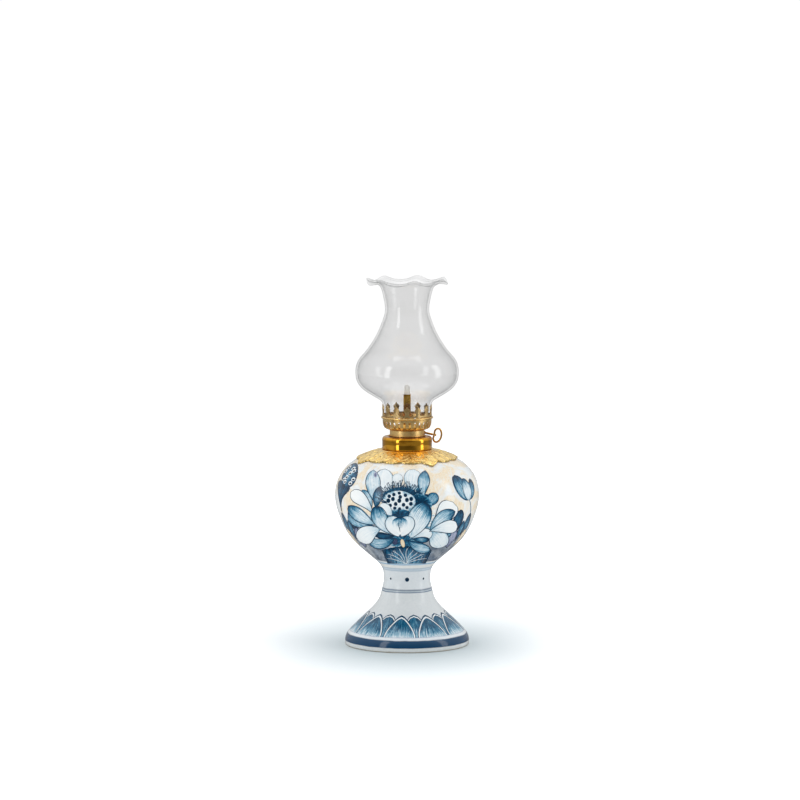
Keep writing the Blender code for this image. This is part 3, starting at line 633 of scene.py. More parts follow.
@dataclass
class Porcelain:
    """The pedestal font: one fired piece, hollow above and below its waist.

    Args:
        columns: Points round the axis.
        wall: Thickness of the porcelain.
        neck: Radius of the neck.
        neck_bore: Radius of its hole.
        neck_top: Height of the neck.
        lip: Radius of the rounding of the neck's edges.
        floor: Height of the font's floor.
        outline: The glazed outline, upwards, as (radius, height).
    """

    columns: int = 288
    wall: float = 4.5
    neck: float = 17.0
    neck_bore: float = 14.0
    neck_top: float = 155.4
    lip: float = 0.8
    floor: float = 56.5
    outline: tuple[Pair, ...] = (
        (47.5, 3.2), (47.0, 6.0), (45.4, 9.3), (41.5, 13.4), (37.2, 17.8), (33.2, 21.5),
        (29.9, 24.7), (27.1, 27.5), (24.5, 30.5), (22.2, 33.6), (20.7, 36.7), (19.8, 39.8),
        (19.1, 42.8), (18.3, 46.0), (17.7, 49.3), (17.6, 52.0), (18.0, 55.1), (18.8, 58.2),
        (20.5, 61.3), (23.4, 64.4), (26.8, 67.4), (30.4, 70.5), (34.0, 73.6), (37.4, 76.7),
        (40.5, 79.8), (43.2, 82.9), (45.4, 86.0), (47.2, 89.1), (48.8, 92.2), (50.1, 95.3),
        (51.3, 98.3), (52.4, 101.4), (53.4, 104.5), (54.2, 107.8), (54.8, 111.4), (55.0, 115.2),
        (54.7, 119.2), (54.0, 123.0), (53.0, 126.2), (51.6, 129.2), (49.8, 132.2), (47.4, 135.3),
        (44.4, 138.4), (40.4, 141.3), (36.0, 143.7), (30.4, 146.0), (24.6, 147.8), (19.4, 149.0),
        (17.0, 149.4))

    def curve(self) -> Array:
        """Returns the glazed outline as evenly spaced rows of (radius, height), upwards."""
        return resample(catmull(self.outline, 8), 170)

    def radius_at(self, height: Array) -> Array:
        """Returns the radius at these heights."""
        curve = self.curve()
        return np.interp(height, curve[:, 1], curve[:, 0])

    def height_at(self, radius: Array) -> Array:
        """Returns the shoulder's height at these radii."""
        curve = self.curve()
        top = curve[curve[:, 1] > 116.0]
        return np.interp(-np.asarray(radius, float), -top[:, 0], top[:, 1])

    def slope_at(self, height: Array) -> tuple[Array, Array]:
        """Returns the outward and upward parts of the surface's unit normal at these heights."""
        curve = self.curve()
        out, rise = outward(curve).T
        return np.interp(height, curve[:, 1], out), np.interp(height, curve[:, 1], rise)

    def build(self) -> Piece:
        """Builds the font and foot.

        Formula: the outline is revolved; the cavity above and the hollow below follow it, one
        wall's thickness inside, and each closes on the axis.

        Returns:
            The finished piece.
        """
        outer = self.curve()
        inside = outer - self.wall * outward(outer)
        font = inside[(inside[:, 1] > self.floor + 4) & (inside[:, 0] > self.neck_bore + 0.6)]
        foot = inside[(inside[:, 1] < 43.0) & (inside[:, 1] > 5.0)]
        bore, lip, pole, vault = self.neck_bore, self.neck_top - self.lip, 1e-5, 44.5
        cavity = np.vstack([[[pole, self.floor], [font[0, 0] * 0.7, self.floor + 0.7]], font,
                            [[bore, self.neck_top - 10], [bore, lip]],
                            arc((bore + self.lip, lip), self.lip, 180, 90, 5),
                            arc((self.neck - self.lip, lip), self.lip, 90, 0, 5)])
        stand = np.vstack([[[self.neck, 149.6]], outer[::-1], arc((46.1, 1.4), 1.4, 0, -90, 6),
                           arc((42.2, 1.2), 1.2, -90, -180, 6), foot,
                           [[foot[-1, 0] * 0.6, vault], [pole, vault]]])
        profile = np.vstack([cavity, stand])[::-1]
        body = Piece("porcelain_body", [Sheet(revolve(profile, self.columns))], merge=1e-6)
        return body.dress(GroundFinish().material()).fit("lamp_base", "glaze", "ceramic_body")


class Tone(Enum):
    """The pigments of the brushwork."""

    BLUE = 0
    VIOLET = 1
    CREAM = 2


@dataclass(frozen=True)
class Petal:
    """One painted petal or leaf, drawn flat as the front shows it, in millimetres.

    Args:
        base: Where it grows from: across, and up.
        tip: Its far end.
        width: Its greatest width.
        bend: How far its middle stands to the left of the straight line.
        peak: Where along it is widest, from 0 to 1.
        blunt: Fullness of its ends, 1 for pointed and 0.4 for round.
        root: Ink at the base, 0 to 1.
        end: Ink at the tip.
        rim: Ink along the edges.
        body: Ink all over.
        notch: Depth of a notch in the tip, in millimetres.
        tone: The pigment.
        line: Width of the outline, or 0 for none.
    """

    base: Pair
    tip: Pair
    width: float
    bend: float
    peak: float
    blunt: float
    root: float
    end: float
    rim: float
    body: float
    notch: float = 0.0
    tone: Tone = Tone.BLUE
    line: float = 0.6

    def flat(self, columns: int = 11, rows: int = 19) -> tuple[Array, Array, Array]:
        """Works out the petal's flat shape.

        Formula: the middle line is a parabola through base and tip that stands out by the bend;
        the half width is sin(pi t^p)^blunt, with p set so that it peaks where asked; a point is
        the middle line plus its share of the half width along the line's normal.

        Args:
            columns: Points across.
            rows: Points along.

        Returns:
            The points (columns, rows, 2), the share across from -1 to 1, and along from 0 to 1.
        """
        across, along = shares(columns, rows)
        base, tip = np.array(self.base), np.array(self.tip)
        chord = tip - base
        length = np.linalg.norm(chord)
        ahead = chord / length
        left = np.array([-ahead[1], ahead[0]])
        middle = (base + along[..., None] * chord
                  + (4 * self.bend * along * (1 - along))[..., None] * left)
        slant = 4 * self.bend * (1 - 2 * along) / length
        turned = left - slant[..., None] * ahead
        turned /= np.linalg.norm(turned, axis=2, keepdims=True)
        power = math.log(0.5) / math.log(self.peak)
        half = self.width / 2 * np.sin(np.pi * np.clip(along, 0, 1) ** power) ** self.blunt
        half = np.where((along > 0) & (along < 1), half, 0)
        points = middle + (across * half)[..., None] * turned
        dent = self.notch * along ** 4 * (np.cos(np.pi * across) + 1) / 2
        return points - dent[..., None] * ahead, across, along


class Canvas:
    """Lays flat brushwork onto the porcelain, each stroke a little above the one before."""

    TILT = math.tan(math.radians(7.5))  # slope of the view that the flat drawings are made for
    LOWEST, STEP = 0.035, 0.011  # height of the first layer, and from one to the next
    EDGE_ON = 0.992  # sine of the furthest turn that a drawing reaches
    UV_SHIFT = np.array([0.37, 1.91])  # moves each stroke to its own part of the streaks

    def __init__(self, body: Porcelain, angle: float = 0.0, mirror: bool = False,
                 first_layer: int = 0) -> None:
        """Starts a canvas.

        Args:
            body: The porcelain.
            angle: Where the drawing's middle stands, in degrees from the front towards +X.
            mirror: True to lay the drawing the other way round.
            first_layer: The layer that the first stroke lies in.
        """
        self.body = body
        self.angle = math.radians(angle)
        self.side = -1.0 if mirror else 1.0
        self.layer = first_layer
        self.sheets: list[Sheet] = []

    def lift(self) -> float:
        """Returns the height of the present layer above the glaze, in millimetres."""
        return self.LOWEST + self.STEP * self.layer

    def wrap(self, flat: Array) -> Array:
        """Wraps flat points onto the porcelain.

        Formula: a point (x, v) comes from height z with v = z - sqrt(R(z)^2 - x^2) tan(tilt),
        solved by repetition, and stands at the turn arcsin(x / R) round the axis.

        Args:
            flat: Points with two values each, across and up.

        Returns:
            Points with three values each, in millimetres.
        """
        across, up = flat[..., 0] * self.side, flat[..., 1]
        height = up + 6.0
        for _ in range(12):
            radius = self.body.radius_at(height)
            height = up + np.sqrt(np.maximum(radius**2 - across**2, 1.0)) * self.TILT
        radius = self.body.radius_at(height)
        turn = np.arcsin(np.clip(across / radius, -self.EDGE_ON, self.EDGE_ON)) + self.angle
        return self.stand(turn, height)

    def stand(self, turn: Array, height: Array) -> Array:
        """Places points at turns and heights on the glaze, lifted along its normal."""
        radius = self.body.radius_at(height)
        out, rise = self.body.slope_at(height)
        radius = radius + out * self.lift()
        return np.stack([radius * np.sin(turn), -radius * np.cos(turn),
                         height + rise * self.lift()], -1)

    def add(self, points: Array, ink: Array, tone: Tone = Tone.BLUE, around: bool = False,
            uv: Array | None = None) -> None:
        """Adds a stroke.

        Args:
            points: Wrapped points, columns by rows by 3.
            ink: Ink for each point.
            tone: The pigment.
            around: True if the columns close on themselves.
            uv: Coordinates across and along, or None for the grid's own.
        """
        columns, rows = points.shape[:2]
        if uv is None:
            uv = np.stack(shares(columns, rows, 0.0), 2)
        uv = uv + self.UV_SHIFT * len(self.sheets)
        a, b, c = points[:-1, :-1], points[1:, :-1], points[:-1, 1:]
        normal = np.cross(b - a, c - a).sum((0, 1))
        outward = points.reshape(-1, 3).mean(0) * np.array([1, 1, 0])
        if normal @ outward < 0:
            points, ink, uv = points[::-1], ink[::-1], uv[::-1]
        marks = {"ink": np.clip(ink, 0, 1),
                 "violet": np.full(ink.shape, float(tone is Tone.VIOLET)),
                 "cream": np.full(ink.shape, float(tone is Tone.CREAM))}
        self.sheets.append(Sheet(points, round_columns=around, uv=uv, marks=marks))

    def ribbon(self, line: Array, width: float, ink: float = 0.92, flat: bool = True) -> None:
        """Draws a line that swells in its middle and thins at its ends.

        Args:
            line: Points along it, two values each.
            width: Its greatest width, in millimetres.
            ink: Its ink.
            flat: True if the points are flat ones, False if they are (turn, height).
        """
        along = np.linspace(0, 1, len(line))
        run = np.gradient(line, axis=0)
        scale = np.array([1.0, 1.0]) if flat else np.array(
            [float(self.body.radius_at(line[:, 1].mean())), 1.0])
        run = run * scale
        run /= np.maximum(np.linalg.norm(run, axis=1, keepdims=True), 1e-9)
        side = np.stack([-run[:, 1], run[:, 0]], 1) / scale
        swell = (0.5 + 0.5 * np.sin(np.pi * along) ** 0.7)[:, None] * width / 2
        edges = np.stack([line + side * swell, line - side * swell], 0)
        points = self.wrap(edges) if flat else self.stand(edges[..., 0], edges[..., 1])
        self.add(points, np.full(points.shape[:2], ink))

    def petal(self, petal: Petal) -> None:
        """Paints one petal: its wash, darker where the brush was loaded, then its outline."""
        flat, across, along = petal.flat()
        ink = (petal.body + petal.root * (1 - along) ** 2.2 + petal.end * along ** 3.0
               + petal.rim * np.abs(across) ** 5)
        self.add(self.wrap(flat), ink, petal.tone)
        if petal.line:
            self.layer += 1
            for edge in (flat[0], flat[-1]):
                self.ribbon(edge, petal.line)
            self.layer -= 1

    def petals(self, petals: tuple[Petal, ...], first: int, step: int = 2,
               cycle: int = 9) -> None:
        """Paints petals in order.

        Args:
            petals: The petals, the furthest first.
            first: The first one's layer.
            step: How many layers the next one lies higher.
            cycle: After this many the layers start again.
        """
        for number, petal in enumerate(petals):
            self.layer = first + number % cycle * step
            self.petal(petal)

    def blob(self, centre: Pair, size: Pair, ink: float,
             edge: float | None = None, tone: Tone = Tone.BLUE, turn: float = 0.0) -> None:
        """Paints an oval.

        Formula: rings of share q hold centre + q (a cos u, b sin u), turned by an angle.

        Args:
            centre: Its middle.
            size: Its two half widths, in millimetres.
            ink: Ink in the middle.
            edge: Ink at the rim, or None for the same.
            tone: The pigment.
            turn: Its slant, in degrees.
        """
        u, q = full_turn(24), np.linspace(0, 1, 7)[None, :]
        x, y = size[0] * q * np.cos(u), size[1] * q * np.sin(u)
        c, s = heading(turn)
        flat = np.stack([centre[0] + x * c - y * s, centre[1] + x * s + y * c], 2)
        shade = ink + ((ink if edge is None else edge) - ink) * np.broadcast_to(q**3, x.shape)
        self.add(self.wrap(flat), shade, tone, around=True)

    def piece(self, name: str) -> Piece:
        """Makes the strokes one piece of brushwork.

        Args:
            name: The piece's name.

        Returns:
            The finished piece.
        """
        piece = Piece(name, self.sheets)
        return piece.dress(BrushFinish().material()).fit("lamp_base", "glaze")


@dataclass
class LotusPainting:
    """The brushwork on the porcelain: a lotus in flower, its leaf, pods, buds and the borders."""

    body: Porcelain
    back_petals: tuple[Petal, ...] = (
        Petal((-16.8, 109.5), (-16.6, 134.2), 15.5, 0.8, 0.62, 0.56, 0.45, 0.1, 0.12, 0.04),
        Petal((-22.5, 106.0), (-25.2, 133.4), 11.0, 1.6, 0.66, 0.68, 0.6, 0.3, 0.25, 0.05),
        Petal((-7.8, 120.0), (-7.0, 130.6), 8.0, 0.0, 0.6, 0.42, 0.2, 0.1, 0.1, 0.06, line=0.25),
        Petal((5.0, 117.0), (5.2, 133.8), 13.5, 0.8, 0.6, 0.5, 0.3, 0.1, 0.1, 0.08,
              line=0.3),
        Petal((11.8, 109.5), (13.6, 133.0), 9.0, 0.6, 0.66, 0.82, 0.6, 0.75, 0.3, 0.06),
        Petal((-27.5, 102.0), (-34.0, 118.2), 7.0, -1.2, 0.62, 0.6, 0.45, 0.6, 0.3, 0.1),
        Petal((8.6, 114.0), (4.2, 127.6), 9.2, 0.9, 0.58, 0.5, 0.45, 0.05, 0.1, 0.03),
        Petal((10.6, 112.5), (5.2, 124.8), 4.6, -0.8, 0.55, 0.7, 0.9, 0.55, 0.2, 0.35),
        Petal((-23.2, 104.5), (-20.3, 120.8), 6.6, 0.6, 0.55, 0.66, 0.6, 0.95, 0.35, 0.3),
        Petal((14.0, 106.0), (21.6, 115.8), 8.6, -0.6, 0.62, 0.55, 0.7, 0.45, 0.3, 0.25),
        Petal((12.0, 106.5), (16.8, 114.2), 7.0, 0.4, 0.6, 0.6, 0.9, 0.75, 0.4, 0.4))
    side_petals: tuple[Petal, ...] = (
        Petal((-25.0, 99.0), (-42.6, 116.6), 10.0, -1.8, 0.74, 0.5, 0.42, 0.02, 0.05, 0.0),
        Petal((-26.0, 91.2), (-44.6, 99.6), 9.3, 1.4, 0.62, 0.6, 0.6, 0.45, 0.2, 0.16),
        Petal((-24.5, 92.2), (-44.6, 106.2), 9.5, 1.2, 0.6, 0.62, 0.35, 0.85, 0.25, 0.06),
        Petal((17.2, 88.0), (34.4, 109.0), 15.1, -1.0, 0.76, 0.42, 0.45, 0.02, 0.12, 0.0,
              notch=1.2),
        Petal((17.0, 87.4), (36.2, 102.0), 9.7, 1.9, 0.62, 0.64, 0.55, 0.85, 0.3, 0.04),
        Petal((16.5, 86.8), (38.0, 90.6), 10.0, 1.0, 0.74, 0.42, 0.45, 0.05, 0.08, 0.0),
        Petal((-20.0, 88.5), (-36.0, 79.0), 13.9, -1.8, 0.68, 0.44, 0.4, 0.06, 0.06, 0.0),
        Petal((-9.5, 81.5), (-29.2, 79.6), 8.6, 3.0, 0.6, 0.55, 0.6, 0.35, 0.5, 0.2),
        Petal((-11.0, 84.0), (-30.0, 86.6), 10.4, -0.6, 0.64, 0.46, 0.4, 0.04, 0.12, 0.0),
        Petal((-9.0, 83.6), (-25.8, 85.4), 4.6, 1.2, 0.6, 0.62, 0.7, 0.75, 0.6, 0.5),
        Petal((0.8, 79.8), (17.5, 73.2), 7.7, -2.0, 0.6, 0.55, 0.6, 0.25, 0.5, 0.15),
        Petal((16.8, 86.6), (26.8, 74.6), 15.3, 1.5, 0.6, 0.42, 0.4, 0.12, 0.08, 0.06),
        Petal((1.2, 82.2), (19.0, 84.8), 9.3, 0.8, 0.66, 0.5, 0.5, 0.1, 0.2, 0.04),
        Petal((4.0, 81.2), (17.0, 80.8), 4.2, -0.6, 0.6, 0.6, 0.6, 0.85, 0.6, 0.3),
        Petal((26.5, 83.0), (32.6, 86.6), 4.6, -0.8, 0.6, 0.6, 0.7, 0.4, 0.3, 0.3))
    front_petals: tuple[Petal, ...] = (
        Petal((-11.5, 99.0), (-20.2, 107.2), 7.4, -0.4, 0.6, 0.5, 0.25, 0.12, 0.1, 0.05,
              line=0.25),
        Petal((-11.5, 85.0), (-22.8, 106.4), 11.6, 2.6, 0.66, 0.5, 0.3, 0.95, 0.12, 0.04),
        Petal((2.4, 81.8), (15.4, 107.8), 16.5, 0.9, 0.6, 0.5, 0.3, 0.95, 0.12, 0.0),
        Petal((-6.0, 83.0), (-10.6, 98.6), 12.4, 1.6, 0.66, 0.46, 0.1, 0.3, 0.12, 0.0),
        Petal((-4.6, 83.0), (-0.4, 98.6), 12.4, -1.6, 0.66, 0.46, 0.1, 0.3, 0.12, 0.0),
        Petal((-5.4, 84.0), (-5.5, 98.0), 12.0, 0.0, 0.66, 0.6, 0.0, 1.0, 0.0, 0.0,
              line=0.0))

    def lotus(self, angle: float, mirror: bool, first_layer: int) -> Canvas:
        """Paints the flower from its back petals forwards.

        Args:
            angle: Where it stands, in degrees from the front.
            mirror: True to paint it the other way round.
            first_layer: The lowest layer.

        Returns:
            The canvas that holds it.
        """
        canvas = Canvas(self.body, angle, mirror, first_layer)
        # A dark wash shows between the petals and round the stem.
        canvas.blob((-4.0, 92.5), (28.0, 13.0), 0.62, 0.2)
        canvas.blob((-4.0, 79.4), (12.5, 4.6), 0.72, 0.5)
        canvas.petals(self.back_petals, first_layer, cycle=5)
        canvas.layer = first_layer + 10
        canvas.blob((-23.8, 129.6), (1.4, 2.2), 0.75, 0.15, Tone.VIOLET)
        self.leaf(canvas, first_layer)
        self.head(canvas, first_layer + 12)
        canvas.petals(self.side_petals, first_layer + 4, cycle=7)
        canvas.layer = first_layer + 16
        canvas.blob((-4.8, 98.6), (8.6, 5.0), 0.85, 0.6)
        canvas.petals(self.front_petals, first_layer + 18, step=1)
        canvas.layer = first_layer + 25
        for slant in np.linspace(-28, 28, 9):
            c, s = heading(slant)
            way = np.array([s, -c])
            reach = 7.2 - abs(slant) * 0.08
            start = np.array([-5.4, 96.4]) + way * 0.4
            canvas.ribbon(start + way * np.linspace(0, reach, 8)[:, None], 0.3, 0.5)
        return canvas

    def head(self, canvas: Canvas, layer: int) -> None:
        """Paints the seed head: a pale oval with dark seeds, ringed by stamens.

        Args:
            canvas: What to paint on.
            layer: The lowest layer of the head.
        """
        seed = np.random.default_rng(11)
        canvas.layer = layer
        canvas.blob((-4.6, 111.6), (14.0, 8.8), 0.95, 0.6)
        canvas.blob((10.5, 108.6), (8.6, 6.2), 0.95, 0.45, Tone.BLUE, -28)
        canvas.layer = layer + 1
        for number, turn in enumerate(np.linspace(-14, 196, 104)):
            c, s = heading(turn)
            reach = 0.98 + 0.2 * seed.uniform(-1, 1)
            start = np.array([-5.6 + 11.6 * c, 110.6 + 7.0 * s])
            stop = np.array([-5.2 + 16.6 * c * reach, 111.8 + 11.6 * s * reach])
            sag = np.array([seed.uniform(-1, 1), seed.uniform(-0.4, 1)])
            t = np.linspace(0, 1, 6)[:, None]
            canvas.layer = layer + 1 + number % 2
            canvas.ribbon(start + (stop - start) * t + sag * 4 * t * (1 - t) * 0.5, 0.42,
                          seed.uniform(0.75, 1.0))
            if number % 2:
                canvas.blob(tuple(stop), (0.42, 0.55), seed.uniform(0.8, 1.0))
        canvas.layer = layer + 3
        canvas.blob((-5.9, 109.9), (12.2, 7.6), 0.1, 0.3, Tone.BLUE, -4)
        canvas.layer = layer + 4
        rows = ((0.0, 0.02), (0.5, 0.1), (-0.42, 0.2), (0.28, -0.42), (-0.24, -0.34),
                (-0.72, 0.02), (0.78, 0.2), (0.76, -0.32), (-0.6, -0.5), (0.02, -0.86),
                (0.06, 0.42), (-0.36, 0.68), (0.4, 0.6), (0.0, 0.84), (-0.66, 0.5),
                (0.5, -0.72), (-0.3, -0.78), (-0.94, -0.22))
        for across, up in rows:
            canvas.blob((-5.9 + 11.4 * across, 109.9 + 7.0 * up),
                        (1.5 - 0.3 * abs(up), 1.75 - 0.6 * abs(up)), 1.0, 0.85)

    def leaf(self, canvas: Canvas, layer: int) -> None:
        """Paints the round leaf below the flower, with white veins that spread from its stem.

        Formula: the leaf is a fan; a point at share (s, t) lies on the line from the lower edge
        to the scalloped upper edge.

        Args:
            canvas: What to paint on.
            layer: The lowest layer of the leaf.
        """
        s, t = shares(41, 13)
        lower = np.stack([-0.4 + 14.4 * s, np.full_like(s, 61.9)], 2)
        scallop = 0.5 * np.abs(np.sin(4.5 * np.pi * s))
        upper = np.stack([-0.2 + 19.0 * s, 75.8 - 3.2 * s**2 - scallop], 2)
        flat = lower + (upper - lower) * t[..., None]
        rim = np.maximum(np.abs(s) ** 4, t**3)
        canvas.layer = layer
        canvas.add(canvas.wrap(flat), 0.55 + 0.45 * rim)
        canvas.layer = layer + 1
        for aim in np.linspace(-1, 1, 9):
            along = np.linspace(0.02, 0.86, 14)[:, None]
            stop = np.array([-0.2 + 18.4 * np.sin(1.45 * aim), 62.5 + 13.2 * np.cos(1.3 * aim)])
            start = np.array([-1.0, 61.6])
            bow = np.array([-aim * 1.2, 1.0]) * 4 * along * (1 - along)
            bow = bow + np.array([0.35, 0.0]) * np.sin(9 * along + 5 * aim)
            line = start + (stop - start) * along + bow
            canvas.ribbon(line, 0.32, 0.05)
            fork = line[10] + (np.array([1.5 * np.sign(aim + 0.01), 2.4])
                               * np.linspace(0, 1, 6)[:, None])
            canvas.ribbon(fork, 0.2, 0.2)
        canvas.layer = layer + 2
        canvas.petal(Petal((-2.4, 74.5), (-4.0, 81.0), 3.2, 0.2, 0.5, 0.4, 0.3, 0.3, 0.3, 0.2,
                           tone=Tone.CREAM, line=0.25))
        canvas.petal(Petal((-9.0, 76.4), (-9.2, 81.6), 4.2, 0.2, 0.5, 0.5, 0.5, 0.5, 0.4, 0.9,
                           tone=Tone.VIOLET, line=0.25))

    def pod(self, angle: float, mirror: bool) -> Canvas:
        """Paints a ripe pod seen from the side, with its stalk.

        Args:
            angle: Where it stands, in degrees from the front.
            mirror: True to paint it the other way round.

        Returns:
            The canvas that holds it.
        """
        canvas = Canvas(self.body, angle, mirror, 2)
        canvas.petal(Petal((-5.0, 84.0), (-2.5, 122.0), 24.0, 0.6, 0.88, 0.8, 0.75, 0.35, 0.4,
                           0.6))
        canvas.layer = 5
        middle, slant = (-0.6, 126.0), -24.0
        canvas.blob(middle, (13.6, 8.4), 0.62, 0.95, Tone.BLUE, slant)
        c, s = heading(slant)
        for row, count in ((-5.0, 2), (-1.8, 3), (1.8, 3), (5.0, 2)):
            for across in np.linspace(-1, 1, count):
                x = across * (10.6 - 0.35 * row**2)
                centre = (middle[0] + x * c - row * s, middle[1] + x * s + row * c)
                canvas.layer = 6
                canvas.blob(centre, (2.3, 1.5), 0.0, 0.1)
                canvas.layer = 7
                canvas.blob((centre[0] + 0.2, centre[1] - 0.2), (1.5, 0.8), 1.0)
        return canvas

    def bud(self, angle: float, mirror: bool, scale: float = 1.0) -> Canvas:
        """Paints a closed bud on its stem with two small leaves.

        Args:
            angle: Where it stands, in degrees from the front.
            mirror: True to paint it the other way round.
            scale: Its size.

        Returns:
            The canvas that holds it.
        """
        canvas = Canvas(self.body, angle, mirror)
        foot = 107.0

        def sized(x: float, v: float) -> Pair:
            """Scales a place about the bud's foot."""
            return x * scale, foot + (v - foot) * scale

        canvas.petals((
            Petal(sized(3.0, 107.5), sized(-6.6, 127.6), 13.0 * scale, 2.6, 0.62, 0.45, 0.6,
                  0.95, 0.35, 0.12),
            Petal(sized(4.4, 107.5), sized(11.0, 123.0), 9.0 * scale, -1.6, 0.6, 0.5, 0.6,
                  0.95, 0.35, 0.25),
            Petal(sized(3.6, 107.0), sized(1.2, 124.2), 11.0 * scale, 0.4, 0.5, 0.5, 0.3, 1.0,
                  0.25, 0.0)), 2)
        canvas.layer = 3
        t = np.linspace(0, 1, 16)[:, None]
        stem = np.array(sized(3.6, 107.5)) + np.array([5.0, -17.0]) * scale * t
        canvas.ribbon(stem + np.array([2.0, 0]) * 4 * t * (1 - t), 1.0, 0.6)
        return canvas

    def foliage(self, angle: float, mirror: bool) -> Canvas:
        """Paints the folded leaves and grass strokes between the flowers."""
        canvas = Canvas(self.body, angle, mirror)
        canvas.petals((
            Petal((-6.0, 84.0), (-9.0, 101.0), 11.0, 1.0, 0.55, 0.55, 0.7, 0.5, 0.4, 0.5),
            Petal((3.5, 80.0), (6.0, 97.0), 9.0, -1.0, 0.5, 0.6, 0.6, 0.6, 0.3, 0.45),
            Petal((-3.0, 72.0), (-9.5, 87.0), 9.0, 0.8, 0.6, 0.6, 0.6, 0.5, 0.3, 0.35,
                  tone=Tone.VIOLET),
            Petal((4.0, 73.0), (8.6, 84.5), 7.5, -0.6, 0.6, 0.5, 0.3, 0.3, 0.2, 0.15,
                  tone=Tone.CREAM, line=0.3),
            Petal((0.0, 76.0), (-1.0, 92.0), 6.0, 0.4, 0.6, 0.7, 0.7, 0.4, 0.4, 0.4)), 1)
        return canvas

    def border(self) -> Canvas:
        """Paints the foot's border: pointed petals before round ones.

        Formula: a petal's half width falls from the base as a power of cos(pi t / 2); nested
        copies, each smaller, give the outline, the white line and the wash.

        Returns:
            The canvas that holds it.
        """
        canvas = Canvas(self.body)
        s, t = shares(13, 17)
        count, base, middle = 10, 11.2, math.radians(-8.0)
        step = math.tau / count
        for pointed in (False, True):
            shape = np.cos(np.pi / 2 * t) ** (0.62 if pointed else 0.5)
            for number in range(count):
                centre = middle + step * (number + (0 if pointed else 0.5))
                for nest, (grow, ink, edge) in enumerate((
                        (1.0, 0.82, 0.9), (0.955, 0.05, 0.02), (0.89, 0.42, 0.6))):
                    top = 26.0 - 1.1 * nest if pointed else 26.4 - 0.8 * nest
                    height = base + (top - base) * t
                    turn = centre + s * shape * step * 0.47 * grow
                    wash = np.full(t.shape, ink)
                    if nest == 2:
                        wash = (0.22 + 0.45 * np.clip(2 * t, 0, 1)) if pointed else 0.5 + 0.2 * t
                        wash = wash + 0.12 * np.abs(s) ** 4
                    canvas.layer = nest + (4 if pointed else 0)
                    canvas.add(canvas.stand(turn, height), wash)
        return canvas

    def dots(self) -> Canvas:
        """Paints eight dots round the waist, four of them large."""
        canvas = Canvas(self.body, first_layer=1)
        u, q = full_turn(20), np.linspace(0, 1, 6)[None, :]
        count, waist, middle = 8, 17.7, 51.8
        for number in range(count):
            large = number % 2 == 0
            radius = 1.6 if large else 0.85
            turn = math.tau * number / count + radius * q * np.cos(u) / waist
            height = middle + radius * 1.05 * q * np.sin(u)
            ink = 1.0 - (0.3 if large else 0.1) * q**4 + 0 * u
            canvas.add(canvas.stand(turn, height), ink, around=True)
        return canvas

    def build(self) -> None:
        """Paints every panel, each a piece of its own."""
        panels = {"front_lotus": self.lotus(0, False, 2), "back_lotus": self.lotus(180, True, 2),
                  "left_pod": self.pod(-63, False), "right_bud": self.bud(55, False),
                  "right_small_bud": self.bud(118, True, 0.9), "right_pod": self.pod(104, True),
                  "left_bud": self.bud(-125, False), "right_leaves": self.foliage(58, False),
                  "left_leaves": self.foliage(-62, True),
                  "right_back_leaves": self.foliage(118, True),
                  "left_back_leaves": self.foliage(-120, False),
                  "foot_border": self.border(), "waist_dots": self.dots()}
        for name, canvas in panels.items():
            canvas.piece(name)


# ---------------------------------------------------------------- brass

@dataclass(frozen=True)
class BrassFinish:
    """Brass, from mirror polish to pressed gilt.

    Args:
        name: The material's name.
        colour: The metal's colour.
        deep: Its colour where it has darkened.
        roughness: Roughness where it is cleanest.
        wear: How much rougher it gets in patches.
        scratch: Height of the fine lines of its polishing, in metres.
        hatch: Height of a pressed cross-hatch, in metres, or 0.
    """

    name: str
    colour: int
    deep: int
    roughness: float
    wear: float
    scratch: float = 0.000006
    hatch: float = 0.0

    def material(self) -> Material:
        """Builds the material and returns it."""
        s = Shader(self.name)
        s.set(Metallic=1.0)
        place = s.place()
        patch = s.noise(place, 170.0, 5.0, 0.62, 0.3)
        s.feed("Base Color", s.ramp(patch, (0.32, srgb(self.deep)), (0.52, srgb(self.colour)),
                                    (0.8, srgb(self.colour))))
        s.feed("Roughness", s.between(s.noise(place, 320.0, 4.0, 0.6), 0.35, 0.75,
                                      self.roughness, self.roughness + self.wear))
        lines = s.noise(s.stretched(place, (1, 1, 24)), 130.0, 3.0, 0.7)
        if not self.hatch:
            return s.bump(lines, 0.35, self.scratch).material
        surface = s.surface()
        lines = [s.node("TexWave", {"Vector": vector, "Scale": 5.0, "Distortion": 0.4,
                                    "Detail": 1.0}, bands_direction="DIAGONAL").outputs[1]
                 for vector in (surface, s.stretched(surface, (-1, 1, 1)))]
        grain = s.math("MULTIPLY", s.noise(place, 900.0, 2.0, 0.5), 0.2)
        woven = s.math("ADD", s.math("MULTIPLY", *lines), grain)
        leaf = s.math("MULTIPLY", woven, s.value("pressed"))
        return s.bump(leaf, 0.75, self.hatch).material


